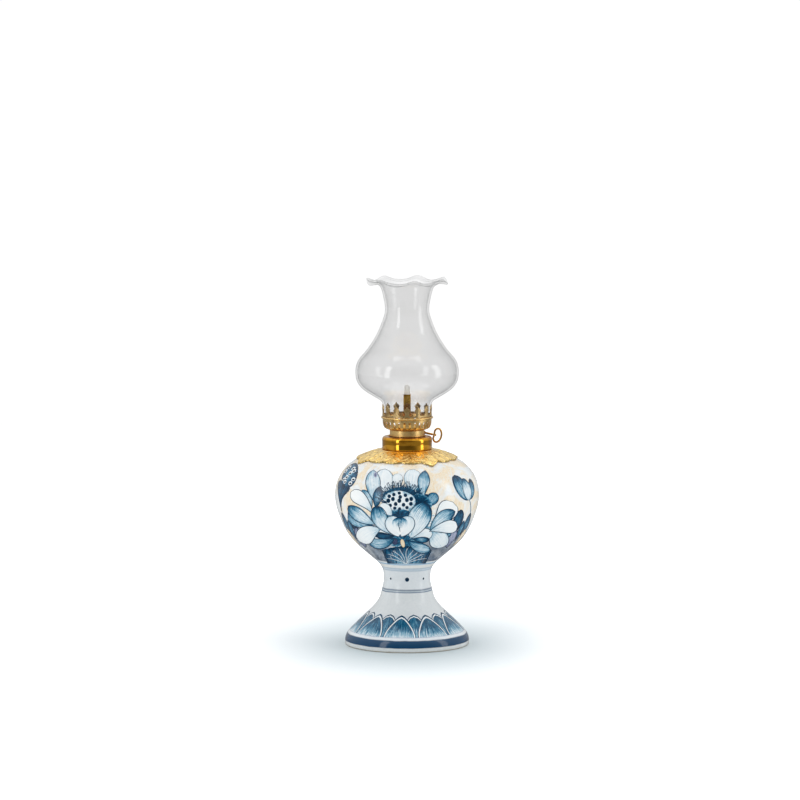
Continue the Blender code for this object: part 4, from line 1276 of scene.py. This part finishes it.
@dataclass
class LeafSkirt:
    """The gilt sheet of pressed leaves on the shoulder: rounded ones, then a pointed one.

    Args:
        body: The porcelain that it lies on.
        clear: Gap between the two.
        sheet: Thickness of the metal.
        inner: Radius of its hole.
        neck: Radius of the porcelain's neck.
        notch: How far the notches between leaves stand out from the neck.
        rounded: How much further a rounded leaf reaches.
        pointed: How much further a pointed leaf reaches.
        repeats: How often the group of leaves comes round.
        group: Leaves in one repeat, the last of them pointed.
        turn: Where the first leaf starts, in degrees from the front.
        lip: Radius where the upright lip ends.
        top: Height of the lip.
        piercing: Radius of the large holes.
        hole_radius: Distance of the large holes from the axis.
        small_piercing: Radius of the two small holes in each leaf.
        small_aside: Turn from the leaf's middle to a small hole, in radians.
        small_in: How much nearer the axis the small holes lie.
        relief: Height of the pressed pattern.
        across: Points across a leaf.
        out: Points from the lip to the edge.
    """

    body: Porcelain
    clear: float = 0.5
    sheet: float = 0.6
    inner: float = 17.25
    neck: float = 17.0
    notch: float = 20.3
    rounded: float = 1.5
    pointed: float = 5.1
    repeats: int = 4
    group: int = 4
    turn: float = -51.45
    lip: float = 18.35
    top: float = 150.15
    piercing: float = 0.85
    hole_radius: float = 31.6
    small_piercing: float = 0.6
    small_aside: float = 0.055
    small_in: float = 5.5
    relief: float = 0.42
    across: int = 26
    out: int = 44

    def build(self) -> Piece:
        """Builds the sheet and pierces it.

        Formula: a section runs up the neck's lip and out along the shoulder to the leaf's edge,
        and back underneath; the edge stands out by the sine of the share across a rounded leaf
        and by the height of a triangle across a pointed one; the relief adds a middle rib,
        slanting side veins and a raised border.

        Returns:
            The finished piece.
        """
        leaves = self.repeats * self.group
        columns = leaves * self.across
        index = np.arange(columns)
        place = index / columns * leaves
        share, kind = place % 1, (place // 1) % self.group
        round_edge = self.rounded * np.sin(np.pi * share) ** 0.6
        point_edge = self.pointed * (1 - np.abs(2 * share - 1)) ** 0.9
        crimp = 0.25 * np.abs(np.sin(5 * np.pi * share))
        leaf_edge = np.where(kind < self.group - 1, round_edge, point_edge)
        edge = self.neck + self.notch + leaf_edge - crimp
        start = math.radians(self.turn) - math.pi / 2
        angle = math.tau * index / columns + start
        reach = np.linspace(0, 1, self.out)
        radius = self.lip + (edge - self.lip)[:, None] * reach[None, :]
        height = self.body.height_at(radius)
        middle = np.abs(share - 0.5)[:, None]
        rib = np.exp(-(middle * 13) ** 2)
        veins = 0.5 + 0.5 * np.cos(math.tau * (reach[None, :] * 4.0 - middle * 3.0))
        border = np.exp(-((1 - reach[None, :]) * 15) ** 2) + np.exp(-((0.5 - middle) * 16) ** 2)
        spread = np.clip((reach[None, :] - 0.12) / 0.2, 0, 1)
        relief = self.relief * spread * (0.8 * rib + 0.45 * veins * (1 - rib) + 0.7 * border)
        step = np.exp(-((reach[None, :] - 0.13) * 30) ** 2) * 0.35
        over = height + self.clear + self.sheet + relief + step
        under = height + self.clear
        fixed = np.array([[self.inner, self.body.height_at(np.array(self.inner)) + self.clear],
                          [self.inner, self.top - 0.2], [self.inner + 0.2, self.top],
                          [self.lip - 0.45, self.top], [self.lip - 0.05, self.top - 0.4]])
        collar = np.broadcast_to(fixed, (columns, *fixed.shape))
        outside = np.stack([radius, over], 2)
        inside = np.stack([radius[:, ::-6], under[:, ::-6]], 2)
        section = np.concatenate([collar, outside, inside], 1)
        points = round_axis(section[..., 0], angle[:, None], section[..., 1])
        rows = section.shape[1]
        uv = np.stack([np.broadcast_to(place[:, None] * 0.8, (columns, rows)),
                       np.broadcast_to((section[..., 0] - self.neck) / 9.0, (columns, rows))], 2)
        pressed = np.zeros((columns, rows))
        pressed[:, len(fixed):len(fixed) + self.out] = np.clip((reach - 0.16) / 0.05, 0, 1)
        skirt = Piece("gilt_leaf_skirt", [Sheet(points, round_rows=True, uv=uv,
                                                marks={"pressed": pressed})], merge=1e-7)
        turns = (np.arange(leaves) + 0.5) / leaves * math.tau + start
        near = self.hole_radius - self.small_in
        holes = []
        for hole in turns:
            for distance, size, aside in ((self.hole_radius, self.piercing, 0.0),
                                          (near, self.small_piercing, self.small_aside),
                                          (near, self.small_piercing, -self.small_aside)):
                pin = revolve(np.array([[size, 120.0], [size, 165.0]]), 12)
                pin[..., 0] += distance * math.cos(hole + aside)
                pin[..., 1] += distance * math.sin(hole + aside)
                holes.append(Sheet(pin, cap_rows=True))
        skirt.cut(Piece("skirt_punch", holes))
        gilt = BrassFinish("pressed_gilt", 0xFFDD8C, 0xE6B85E, 0.22, 0.1, hatch=0.00008)
        return skirt.dress(gilt.material()).fit("lamp_base", "gilt", "leaf_skirt")


def helix(root: float, crest: float, wide: float, narrow: float, start: float, pitch: float,
          turns: float) -> Sheet:
    """Carries a thread's ridge round the axis.

    Formula: at turn a the ridge's section stands at height start + pitch a / tau, and its
    depth grows from nothing over the first 30 degrees and dies over the last.

    Args:
        root: Radius that the ridge grows from.
        crest: Radius of its crest.
        wide: Its width at the root.
        narrow: Its width at the crest.
        start: Height of its middle at its start.
        pitch: Rise in one turn.
        turns: How many turns it makes.

    Returns:
        The ridge's closed sheet.
    """
    count = int(turns * 72)
    a = np.linspace(0, turns * math.tau, count)[None, :]
    grow = np.clip(np.minimum(a, turns * math.tau - a) / math.radians(30), 0.02, 1)
    radius = np.array([root, crest, crest, root])[:, None]
    radius = root + (radius - root) * grow
    rise = np.array([-wide, -narrow, narrow, wide])[:, None] / 2
    points = round_axis(radius, a, start + pitch * a / math.tau + rise)
    if crest < root:
        points = points[::-1]
    return Sheet(points, cap_rows=True)


@dataclass
class Thread:
    """The screw thread between collar and burner.

    Args:
        pitch: Rise in one turn.
        wide: Width of the ridge at its root.
        narrow: Width of the ridge at its crest.
        collar_start: Height where the collar's ridge starts.
        collar_turns: How many turns it makes.
        burner_start: Height where the burner's ridge starts.
        burner_turns: How many turns it makes.
    """

    pitch: float = 2.4
    wide: float = 1.1
    narrow: float = 0.5
    collar_start: float = 155.1
    collar_turns: float = 1.25
    burner_start: float = 153.9
    burner_turns: float = 1.75

    def ridge(self, root: float, crest: float, start: float, turns: float) -> Sheet:
        """Returns a ridge between two radii, from a height and for some turns."""
        return helix(root, crest, self.wide, self.narrow, start, self.pitch, turns)


@dataclass
class Collar:
    """The spun brass collar with the threaded sleeve that the burner screws into."""

    radius: float = 19.1
    low: float = 150.4
    top: float = 160.0
    bend: float = 2.4
    sheet: float = 0.8
    seat: float = 159.2
    seat_radius: float = 14.6
    bore: float = 12.75
    crest: float = 11.95
    sleeve_low: float = 155.0

    def build(self, thread: Thread) -> Piece:
        """Builds the collar.

        Formula: the outline is revolved; its shoulder is a quarter circle, with a rolled foot.

        Args:
            thread: The screw thread.

        Returns:
            The finished piece.
        """
        out, inside = self.radius, self.radius - self.sheet
        sleeve = self.bore + self.sheet
        outline = np.vstack([
            arc((inside + 0.4, self.low + 0.4), 0.4, 180, 360, 9),
            [[out, self.low + 0.9], [out - 0.12, self.low + 1.5], [out - 0.12, self.low + 5.0]],
            arc((out - self.bend, self.top - self.bend), self.bend, 0, 90, 16),
            arc((self.seat_radius + 0.5, self.top - 0.4), 0.4, 90, 180, 6),
            [[self.seat_radius, self.seat], [self.bore + 0.3, self.seat],
             [self.bore, self.seat - 0.3], [self.bore, self.sleeve_low],
             [sleeve, self.sleeve_low], [sleeve, self.seat - self.sheet],
             [self.seat_radius + self.sheet, self.seat - self.sheet]],
            arc((inside - self.bend + 0.8, self.top - self.bend), self.bend - 0.8, 90, 0, 10),
            [[inside, self.low + 0.9]]])
        parts = [Sheet(revolve(outline, 160), round_rows=True),
                 thread.ridge(self.bore + 0.3, self.crest, thread.collar_start,
                              thread.collar_turns)]
        collar = Piece("polished_collar", parts)
        brass = BrassFinish("polished_brass", 0xDDA032, 0xB97C1E, 0.05, 0.05)
        return collar.dress(brass.material()).fit("lamp_base", "polished_brass", "collar")


@dataclass
class Burner:
    """The band, the slotted gallery and the crown of prongs.

    Args:
        thread: The screw thread.
        tunnel: Two points on the spindle's axis, the ends of the hole drilled for it.
    """

    thread: Thread
    tunnel: Array
    tunnel_radius: float = 1.67
    band_radius: float = 13.3
    band_low: float = 159.95
    band_top: float = 164.95
    sheet: float = 0.55
    thread_root: float = 11.6
    basket_low: float = 165.2
    basket_top: float = 174.4
    basket_rim: float = 18.65
    bowl_height: float = 7.0
    slots: int = 28
    slot_width: float = 1.9
    slot_height: float = 5.6
    slot_middle: float = 169.1
    crown_radius: float = 18.9
    crown_low: float = 175.4
    prongs: int = 14
    prong_height: float = 8.6
    prong_width: float = 5.4
    prong_shape: tuple[Pair, ...] = (
        (0, 1.0), (0.1, 0.86), (0.25, 0.64), (0.42, 0.66), (0.62, 0.92), (0.72, 0.84),
        (0.86, 0.38), (1, 0.06))

    def drill(self, piece: Piece) -> Piece:
        """Bores the spindle's hole through a piece and returns the piece."""
        pin = Sheet(sweep(self.tunnel, self.tunnel_radius, 24, False), cap_rows=True)
        return piece.cut(Piece("spindle_drill", [pin]))

    def band(self) -> Piece:
        """Builds the plain band with its male thread and the hole for the spindle.

        Returns:
            The finished piece.
        """
        low, top, out = self.band_low, self.band_top, self.band_radius
        root = self.thread_root
        outline = np.vstack([
            [[root - self.sheet, low - 7.4], [root, low - 7.4], [root, low]],
            arc((out - 0.5, low + 0.5), 0.5, -90, 0, 6), [[out, low + 2.0], [out, top - 0.3]],
            arc((out - 0.27, top - 0.27), 0.27, 0, 180, 7),
            [[out - self.sheet, low + self.sheet], [root - self.sheet, low + self.sheet]]])
        band = Piece("satin_band", [Sheet(revolve(outline, 144), round_rows=True)])
        self.drill(band)
        ridge = Piece("burner_thread", [self.thread.ridge(
            root - 0.25, root + 0.8, self.thread.burner_start, self.thread.burner_turns)])
        brass = BrassFinish("satin_brass", 0xF4CE88, 0xD2A964, 0.32, 0.12).material()
        ridge.dress(brass).fit("burner", "satin_brass")
        return band.dress(brass).fit("burner", "satin_brass", "burner_cup")

    def basket(self) -> Piece:
        """Builds the gallery: a bowl with a rolled bead, cut by a ring of slots.

        Formula: the outline is revolved; each slot is a rounded oblong carried outwards.

        Returns:
            The finished piece.
        """
        low, high, rim, wall = self.basket_low, self.basket_top, self.basket_rim, self.sheet
        start = self.band_radius + 0.25
        sleeve, sleeve_low = 12.5, 160.75
        shape = np.array(((0, 0), (0.25, 0.03), (0.49, 0.085), (0.76, 0.23), (0.94, 0.6), (1, 1)))
        bowl = catmull([(start + (rim - start) * across, low + self.bowl_height * up)
                        for across, up in shape], 4)
        bead = arc((rim + 0.35, high), 0.78, -115, 115, 12)
        inner = bowl[::-1] - np.stack([np.full(len(bowl), wall * 0.85),
                                       np.linspace(0, -wall, len(bowl))], 1)
        outline = np.vstack([[[sleeve, sleeve_low], [sleeve, low - 0.02]], bowl,
                             [[rim, high - 0.95]], bead,
                             [[rim - wall * 0.6, high + 0.7], [rim - wall, high + 0.3]], inner,
                             [[sleeve - wall, low + wall], [sleeve - wall, sleeve_low]]])
        basket = Piece("gallery", [Sheet(revolve(outline, 224), round_rows=True)])
        u = full_turn(16)
        straight = (self.slot_height - self.slot_width) / 2
        across = self.slot_width / 2 * np.cos(u)
        up = (self.slot_middle + self.slot_width / 2 * np.sin(u)
              + np.where(np.sin(u) >= 0, straight, -straight))
        cutters = []
        for number in range(self.slots):
            turn = math.tau * (number + 0.5) / self.slots
            reach = np.array([rim - 4.0, rim + 3.0])[None, :]
            x = reach * math.cos(turn) - across * math.sin(turn)
            y = reach * math.sin(turn) + across * math.cos(turn)
            cutters.append(Sheet(np.stack([x, y, np.broadcast_to(up, x.shape)], 2),
                                 cap_rows=True))
        basket.cut(Piece("slot_punch", cutters))
        self.drill(basket)
        brass = BrassFinish("gallery_brass", 0xF2CC88, 0xC49A5A, 0.24, 0.14)
        return basket.dress(brass.material()).fit("burner", "coppery_brass", "gallery_basket")

    def crown(self) -> Piece:
        """Builds the ring of ogee prongs and the ledge that the chimney stands on.

        Formula: a prong's half width follows the prong shape with height, wrapped on a cylinder
        that leans out with the square of height; a second sheet inside gives its thickness.

        Returns:
            The finished piece.
        """
        low, out, wall = self.crown_low, self.crown_radius, 0.45
        ring = np.vstack([
            [[out - 2.3, low]], arc((out - 0.15, low + 0.15), 0.15, -90, 0, 4),
            [[out, low + 1.4]], [[out - wall, low + 1.4], [out - wall, low + wall],
                                 [out - 2.3, low + wall]]])
        sheets = [Sheet(revolve(ring, 168), round_rows=True)]
        shape = catmull(self.prong_shape, 5)
        share, wide = shape[:, 0], np.maximum(shape[:, 1], 0.05)
        section = np.linspace(-1, 1, 9)
        for number in range(self.prongs):
            centre = math.tau * (number + 0.5) / self.prongs
            height = low + 0.5 + (self.prong_height - 0.5) * share
            lean = 0.35 * share**2
            crease = 0.12 * np.exp(-(section * 2.2) ** 2)
            loops = []
            for radius, across, dent in ((out, section, crease), (out - wall, section[::-1],
                                                                 crease[::-1])):
                half = (self.prong_width / 2 * wide)[None, :] / out
                turn = centre + across[:, None] * half
                reach = radius + lean[None, :] + dent[:, None]
                loops.append(round_axis(reach, turn, height))
            sheets.append(Sheet(np.concatenate(loops), cap_rows=True))
        crown = Piece("prong_ring", sheets)
        brass = BrassFinish("crown_brass", 0xDCBC84, 0xAA8654, 0.26, 0.14)
        return crown.dress(brass.material()).fit("burner", "polished_brass", "prong_crown")


@dataclass
class WickKey:
    """The wire loop that turns the wick's wheels."""

    axle: Triple = (0.0, 4.05, 164.863)
    tilt: float = 12.0
    reach: float = 20.0
    length: float = 7.9
    height: float = 12.0
    wire: float = 0.75
    dent: float = 0.9

    def way(self) -> Array:
        """Returns the spindle's direction, outwards and a little down."""
        c, s = heading(self.tilt)
        return np.array([c, 0, -s])

    def at(self, reach: float) -> Array:
        """Returns the spindle's point at this distance from the lamp's axis."""
        return np.array(self.axle) + self.way() * reach / self.way()[0]

    def build(self) -> Piece:
        """Builds the kidney-shaped loop with its boss and rivet head.

        Formula: the middle line is an ellipse, pushed in near the spindle by a bell curve of
        the turn; a circle is carried round it.

        Returns:
            The finished piece.
        """
        turn = full_turn(96)
        half, tall = self.length / 2 - self.wire, self.height / 2 - self.wire
        dent = self.dent * np.exp(-(np.abs(turn - math.pi) / 0.5) ** 2)
        along = half * (1 + np.cos(turn)) + dent - self.dent
        up = np.cross(np.array([0, -1, 0]), self.way())
        start = self.at(self.reach + self.wire)
        path = start + along * self.way() + tall * np.sin(turn) * up
        sheets = [Sheet(sweep(path, self.wire, 20, True, (0, 1, 0)), round_rows=True)]
        boss = np.array([[1e-4, 0.0], [0.9, 0.0], [1.1, 0.2], [1.1, 1.2], [0.9, 1.5], [0.5, 1.75],
                         [1e-4, 1.85]])
        knob = revolve(boss, 24)
        side = np.array([0, 1, 0])
        first = self.at(self.reach)
        placed = (first + knob[..., 2:] * self.way() + knob[..., :1] * side
                  + knob[..., 1:2] * np.cross(self.way(), side))
        sheets.append(Sheet(placed))
        loop = Piece("key_ring", sheets)
        brass = BrassFinish("coppery_brass", 0xE2B064, 0xB57C38, 0.16, 0.14)
        return loop.dress(brass.material()).fit("wick_key", "coppery_brass", "key_loop")


# ---------------------------------------------------------------- glass and wick

@dataclass(frozen=True)
class GlassFinish:
    """Thin blown glass: clear from the front, greyer and more mirror-like edge on.

    Args:
        clear: Share of light that one surface lets through, met head on.
        edge: The same, met edge on.
    """

    clear: float = 0.925
    edge: float = 0.5

    def material(self) -> Material:
        """Builds the material and returns it."""
        s = Shader("clear_glass")
        wave = s.noise(s.stretched(s.place(), (1, 1, 0.5)), 42.0, 2.0, 0.5)
        normal = s.node("Bump", {"Height": wave, "Strength": 0.25, "Distance": 0.0003}).outputs[0]
        facing = s.node("LayerWeight", {"Blend": 0.35, "Normal": normal}).outputs["Facing"]
        tint = s.ramp(s.math("POWER", facing, 1.6), (0.0, (self.clear,) * 3),
                      (0.6, (self.clear * 0.97,) * 3),
                      (1.0, (self.edge, self.edge * 1.01, self.edge * 0.98)))
        clear = s.node("BsdfTransparent", {"Color": tint})
        gloss = s.node("BsdfGlossy", {"Roughness": 0.02, "Normal": normal,
                                      "Color": (1.0, 1.0, 1.0, 1)})
        bounce = s.math("MULTIPLY_ADD", s.math("POWER", facing, 3.0), 0.5, 0.03)
        mix = s.node("MixShader", {0: bounce, 1: clear.outputs[0], 2: gloss.outputs[0]})
        s.tree.links.new(mix.outputs[0], s.tree.nodes["Material Output"].inputs[0])
        s.tree.nodes.remove(s.principled)
        return s.material


@dataclass
class Chimney:
    """The blown glass: a fitter, a bulb, a throat and a rim pressed into ruffles."""

    seat: float = 175.85
    wall: float = 1.5
    throat: float = 257.0
    throat_radius: float = 16.8
    rim_radius: float = 30.2
    ruffles: int = 7
    ruffle: float = 1.7
    ruffle_turn: float = 10.0
    outline: tuple[Pair, ...] = (
        (17.95, 175.85), (18.2, 178.5), (18.2, 181.5), (18.4, 183.6), (20.0, 187.2),
        (25.4, 190.6), (30.6, 193.8), (34.7, 197.0), (37.2, 200.2), (38.7, 203.6), (39.3, 207.8),
        (39.2, 211.6), (38.4, 215.2), (36.8, 218.6), (34.2, 221.8), (31.2, 225.2), (28.2, 229.4),
        (25.6, 233.4), (23.6, 237.0), (21.8, 240.6), (20.2, 244.4), (18.8, 248.2), (17.6, 251.8),
        (16.9, 254.8), (16.8, 257.8), (17.1, 261.2), (17.8, 265.0), (18.6, 268.6), (19.6, 272.2),
        (21.2, 275.0), (24.2, 276.7), (27.6, 277.2), (30.2, 277.35))

    def build(self) -> Piece:
        """Builds the chimney.

        Formula: a double wall is revolved; above the throat the height gains
        r cos(7 (turn - crest)) times a power of how far the rim has flared, and the edge is
        melted round.

        Returns:
            The finished piece.
        """
        outer = resample(catmull(self.outline, 8), 120)
        inner = outer - self.wall * outward(outer)
        inner[0] = [outer[0, 0] - self.wall, self.seat]
        tip = (outer[-1] + inner[-1]) / 2
        lean = math.degrees(math.atan2(outer[-1, 1] - tip[1], outer[-1, 0] - tip[0]))
        edge = arc(tuple(tip), self.wall / 2, lean, lean + 180, 9)[1:-1]
        foot = arc(((outer[0, 0] + inner[0, 0]) / 2, self.seat + 0.6), 0.72, 190, 350, 8)
        profile = np.vstack([outer[2:], edge, inner[::-1][:-2], foot])
        turn = full_turn(self.ruffles * 32)
        crest = turn + math.pi / 2 - math.radians(self.ruffle_turn)
        wave = np.cos(self.ruffles * crest) + 0.12 * np.cos(2 * self.ruffles * crest)
        radius, height = profile[None, :, 0], profile[None, :, 1]
        flare = np.clip((radius - self.throat_radius) / (self.rim_radius - self.throat_radius),
                        0, 1.05) * (height > self.throat)
        lift = self.ruffle * wave * flare**2.4
        reach = radius - lift * 0.25 + 0.35 * np.cos(self.ruffles * crest) * flare**3
        points = round_axis(reach, turn, height + lift)
        glass = Piece("glass_chimney", [Sheet(points, round_rows=True)])
        glass.smooth(70)
        return glass.dress(GlassFinish().material()).fit("chimney", "clear_glass", "chimney")


@dataclass(frozen=True)
class CottonFinish:
    """White cotton, woven in a herringbone."""

    def material(self) -> Material:
        """Builds the material and returns it."""
        s = Shader("woven_cotton")
        s.set(Roughness=0.9, Sheen_Weight=0.35, Sheen_Roughness=0.6)
        place = s.place()
        weave = s.node("TexWave", {"Vector": s.stretched(place, (1, 1, 0.7)), "Scale": 420.0,
                                   "Distortion": 2.5, "Detail": 2.0},
                       bands_direction="DIAGONAL").outputs[1]
        fluff = s.noise(place, 1500.0, 4.0, 0.7)
        s.feed("Base Color", s.ramp(fluff, (0.3, srgb(0xEDE8DD)), (0.6, srgb(0xFFFDF8))))
        return s.bump(s.math("ADD", weave, fluff), 0.6, 0.00025).material


@dataclass
class Wick:
    """The flat wick, woven along its length and teased into fluff at its top.

    Args:
        width: Its width.
        thick: Its thickness.
        low: Height of its lower end.
        top: Height of its upper end.
        teased: Height where the fluff starts.
        end: Length of its rounded end.
    """

    width: float = 4.4
    thick: float = 2.4
    low: float = 68.5
    top: float = 199.35
    teased: float = 192.0
    end: float = 2.6

    def build(self) -> Piece:
        """Builds the wick.

        Formula: the section is a superellipse; its size swells a little and its surface is
        ruffled by a sum of sines over the last 7 mm, and a rounded end closes it.

        Returns:
            The finished piece.
        """
        height = np.concatenate([np.linspace(self.low, 188, 90), np.linspace(188.4, self.top, 44)])
        turn = full_turn(48)
        c, s = np.cos(turn), np.sin(turn)
        across = self.width / 2 * np.sign(c) * np.abs(c) ** 0.6
        deep = self.thick / 2 * np.sign(s) * np.abs(s) ** 0.6
        fluff = np.clip((height - self.teased) / 5.0, 0, 1)[None, :]
        ending = np.clip((height - (self.top - self.end)) / self.end, 0, 1)
        close = np.sqrt(np.clip(1 - ending**2.4, 1e-6, 1))[None, :]
        ruffle = (np.sin(5 * turn + 3.1 * height[None, :]) * np.sin(2.3 * height[None, :] + turn)
                  + 0.6 * np.sin(11 * turn - 5.7 * height[None, :]))
        swell = (1 + 0.02 * fluff + 0.028 * fluff * ruffle) * close
        rib = 1 + 0.018 * np.sin(height[None, :] * 6.0 + 2 * np.abs(c) * 3)
        points = np.stack([across * swell * rib, deep * swell * rib * (1 + 0.06 * fluff),
                           np.broadcast_to(height, swell.shape)], 2)
        wick = Piece("cotton_wick", [Sheet(points, cap_rows=True)])
        return wick.dress(CottonFinish().material()).fit("wick", "cotton", "wick")


@dataclass(frozen=True)
class PlainFinish:
    """A cast or pressed matter with fine grain, such as plaster, fibre or steel."""

    name: str
    light: int
    dark: int
    roughness: float
    metallic: float = 0.0
    grain: float = 700.0

    def material(self) -> Material:
        """Builds the material and returns it."""
        s = Shader(self.name)
        s.set(Metallic=self.metallic)
        place = s.place()
        fine = s.noise(place, self.grain, 4.0, 0.65)
        s.feed("Base Color", s.ramp(fine, (0.3, srgb(self.dark)), (0.7, srgb(self.light))))
        s.feed("Roughness", s.between(fine, 0.3, 0.7, self.roughness, self.roughness + 0.15))
        return s.bump(fine, 0.4, 0.00012).material


def dress_kept_nodes(nodes: dict[str, bpy.types.Object]) -> None:
    """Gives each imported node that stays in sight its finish.

    Args:
        nodes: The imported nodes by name.
    """
    polished = BrassFinish("tube_brass", 0xE7B553, 0xB07C33, 0.14, 0.12).material()
    deck = BrassFinish("deck_brass", 0xD8A74E, 0x8F6A33, 0.22, 0.16).material()
    steel = PlainFinish("wheel_steel", 0xB9BBBE, 0x83868A, 0.28, 1.0).material()
    finishes = {
        "collar_cement": PlainFinish("cement_plaster", 0xE9E3D6, 0xCFC6B4, 0.85).material(),
        # The sealing washer is finished dark brown, a dark ring between the collar and the band.
        "sealing_washer": PlainFinish("dark_brown_washer", 0x8A5A3A, 0x5F3A25, 0.75).material(),
        "burner_deck": deck, "wheel_cage": deck, "wick_tube": polished,
        "spindle_bushing": polished, "wick_spindle": polished, "wick_wheel_1": steel,
        "wick_wheel_2": steel}
    for name, material in finishes.items():
        mesh = nodes[name].data
        mesh.materials.clear()
        mesh.materials.append(material)
        LOG.info("%s: kept from the parts", name)


# ---------------------------------------------------------------- studio

@dataclass
class Studio:
    """A pale floor, a soft white room with a darker front, and the camera.

    Args:
        eye: Where the camera stands, in metres.
        pitch: How far it looks down, in degrees.
        lens: Its focal length, in millimetres.
        target: What the soft boxes face, in metres.
    """

    eye: Triple = (-0.0054, -3.2, 0.525)
    pitch: float = 6.0204
    lens: float = 189.95
    target: Triple = (0.0, 0.0, 0.13)

    def camera(self) -> None:
        """Places the camera."""
        camera = bpy.data.cameras.new("view")
        camera.lens = self.lens
        camera.sensor_width = 36.0
        holder = bpy.data.objects.new("view", camera)
        holder.location = self.eye
        holder.rotation_euler = (math.radians(90 - self.pitch), 0, 0)
        bpy.context.scene.collection.objects.link(holder)
        bpy.context.scene.camera = holder
        bpy.context.scene.view_settings.view_transform = "Standard"

    def floor(self) -> None:
        """Lays the floor: a wide square of matt white, with a painted bluish-grey shadow round the
        lamp's foot, a painted glow that lifts the floor further out to pure white, and painted
        dark grey where reflections see it.
        """
        s = Shader("pale_floor_painted_shadow")
        s.set(Roughness=0.95, Specular_IOR_Level=0.1)
        tint = s.noise(s.place(), 1.2, 2.0)
        pale = s.ramp(tint, (0.0, (0.93, 0.945, 0.95)), (1.0, (0.95, 0.96, 0.965)))
        far = 0.2
        away = s.node("VectorMath", {0: s.stretched(s.place(), (1.0, 0.62, 1.0))},
                      operation="LENGTH").outputs["Value"]
        # Painted shadow: the floor darkens to bluish grey towards the lamp's foot, stretched front
        # to back.
        shade = s.ramp(s.math("DIVIDE", away, far), (0.2, (0.66, 0.72, 0.735)),
                       (0.42, (0.86, 0.89, 0.9)), (0.65, (1.0, 1.0, 1.0)))
        # Painted reflection: rays that mirror the floor see it dark grey and without its glow.
        mirrored = s.node("LightPath").outputs["Is Glossy Ray"]
        s.feed("Base Color", s.mixed(mirrored, s.mixed(1.0, pale, shade, "MULTIPLY"),
                                     (0.3, 0.3, 0.3)))
        s.set(Emission_Color=(1, 1, 1, 1))
        # Painted glow: the floor glows more the further it lies from the lamp, so it reads pure
        # white away from the painted shadow.
        painted_far_glow = s.between(away, 0.07, far, 0.0, 0.3)
        s.feed("Emission Strength", s.math("MULTIPLY", painted_far_glow, s.math("SUBTRACT", 1.0, mirrored)))
        reach, level = 1500.0, -0.05
        corner = np.array([[[-reach, -reach, level], [-reach, reach, level]],
                           [[reach, -reach, level], [reach, reach, level]]])
        floor = Piece("floor", [Sheet(corner, round_columns=False)])
        floor.dress(s.material).object

    def room(self) -> None:
        """Lights the room.

        Formula: a camera ray meets white; other rays meet a grey that brightens with height and
        to the sides and back, and is darkest towards the front.
        """
        world = bpy.data.worlds.new("white_room")
        bpy.context.scene.world = world
        world.use_nodes = True
        s = Nodes(world.node_tree)
        s.tree.nodes.clear()
        way = s.node("TexCoord").outputs["Generated"]
        across, back, up = s.node("SeparateXYZ", {0: way}).outputs
        dim = s.between(s.math("MULTIPLY", back, -1.0), 0.25, 0.95, 0.5, 0.13)
        lift = s.between(up, 0.0, 0.9, 0.0, 0.55)
        wide = s.between(s.math("ABSOLUTE", across), 0.5, 0.95, 0.0, 0.12)
        total = s.math("ADD", s.math("ADD", dim, lift), wide)
        soft = s.node("Background", {0: (0.97, 0.985, 1.0, 1), 1: total})
        white = s.node("Background", {0: (1, 1, 1, 1), 1: 1.02})
        seen = s.node("LightPath").outputs["Is Camera Ray"]
        mix = s.node("MixShader", {0: seen, 1: soft.outputs[0], 2: white.outputs[0]})
        s.node("OutputWorld", {0: mix.outputs[0]})

    def lamp(self, name: str, place: Triple, size: Pair,
             power: float) -> None:
        """Hangs a soft box that faces the lamp's middle.

        Args:
            name: Its name.
            place: Where it hangs, in metres.
            size: Its width and height, in metres.
            power: Its power in watts.
        """
        light = bpy.data.lights.new(name, "AREA")
        light.shape = "RECTANGLE"
        light.size, light.size_y = size
        light.energy = power
        holder = bpy.data.objects.new(name, light)
        holder.location = place
        way = Vector(self.target) - Vector(place)
        holder.rotation_euler = way.to_track_quat("-Z", "Y").to_euler()
        bpy.context.scene.collection.objects.link(holder)

    def build(self) -> None:
        """Sets up the whole studio."""
        self.camera()
        self.floor()
        self.room()
        for name, place, size, power in (
                ("left_box", (-0.55, -0.55, 0.37), (0.18, 0.7), 1.15),
                ("right_box", (0.72, -0.22, 0.37), (0.2, 0.7), 1.0),
                ("top_box", (0.0, 0.3, 1.9), (1.4, 1.4), 8.0)):
            self.lamp(name, place, size, power)


def main() -> None:
    """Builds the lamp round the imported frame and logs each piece."""
    logging.basicConfig(level=logging.INFO, format="%(name)s %(message)s")
    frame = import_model()
    Studio().build()
    porcelain = Porcelain()
    porcelain.build()
    LotusPainting(porcelain).build()
    LeafSkirt(porcelain).build()
    key = WickKey()
    thread = Thread()
    Collar().build(thread)
    burner = Burner(thread, np.array([key.at(9.5), key.at(15.5)]))
    burner.band()
    burner.basket()
    burner.crown()
    key.build()
    Wick().build()
    Chimney().build()
    dress_kept_nodes(frame["nodes"])


if __name__ == "__main__":
    main()
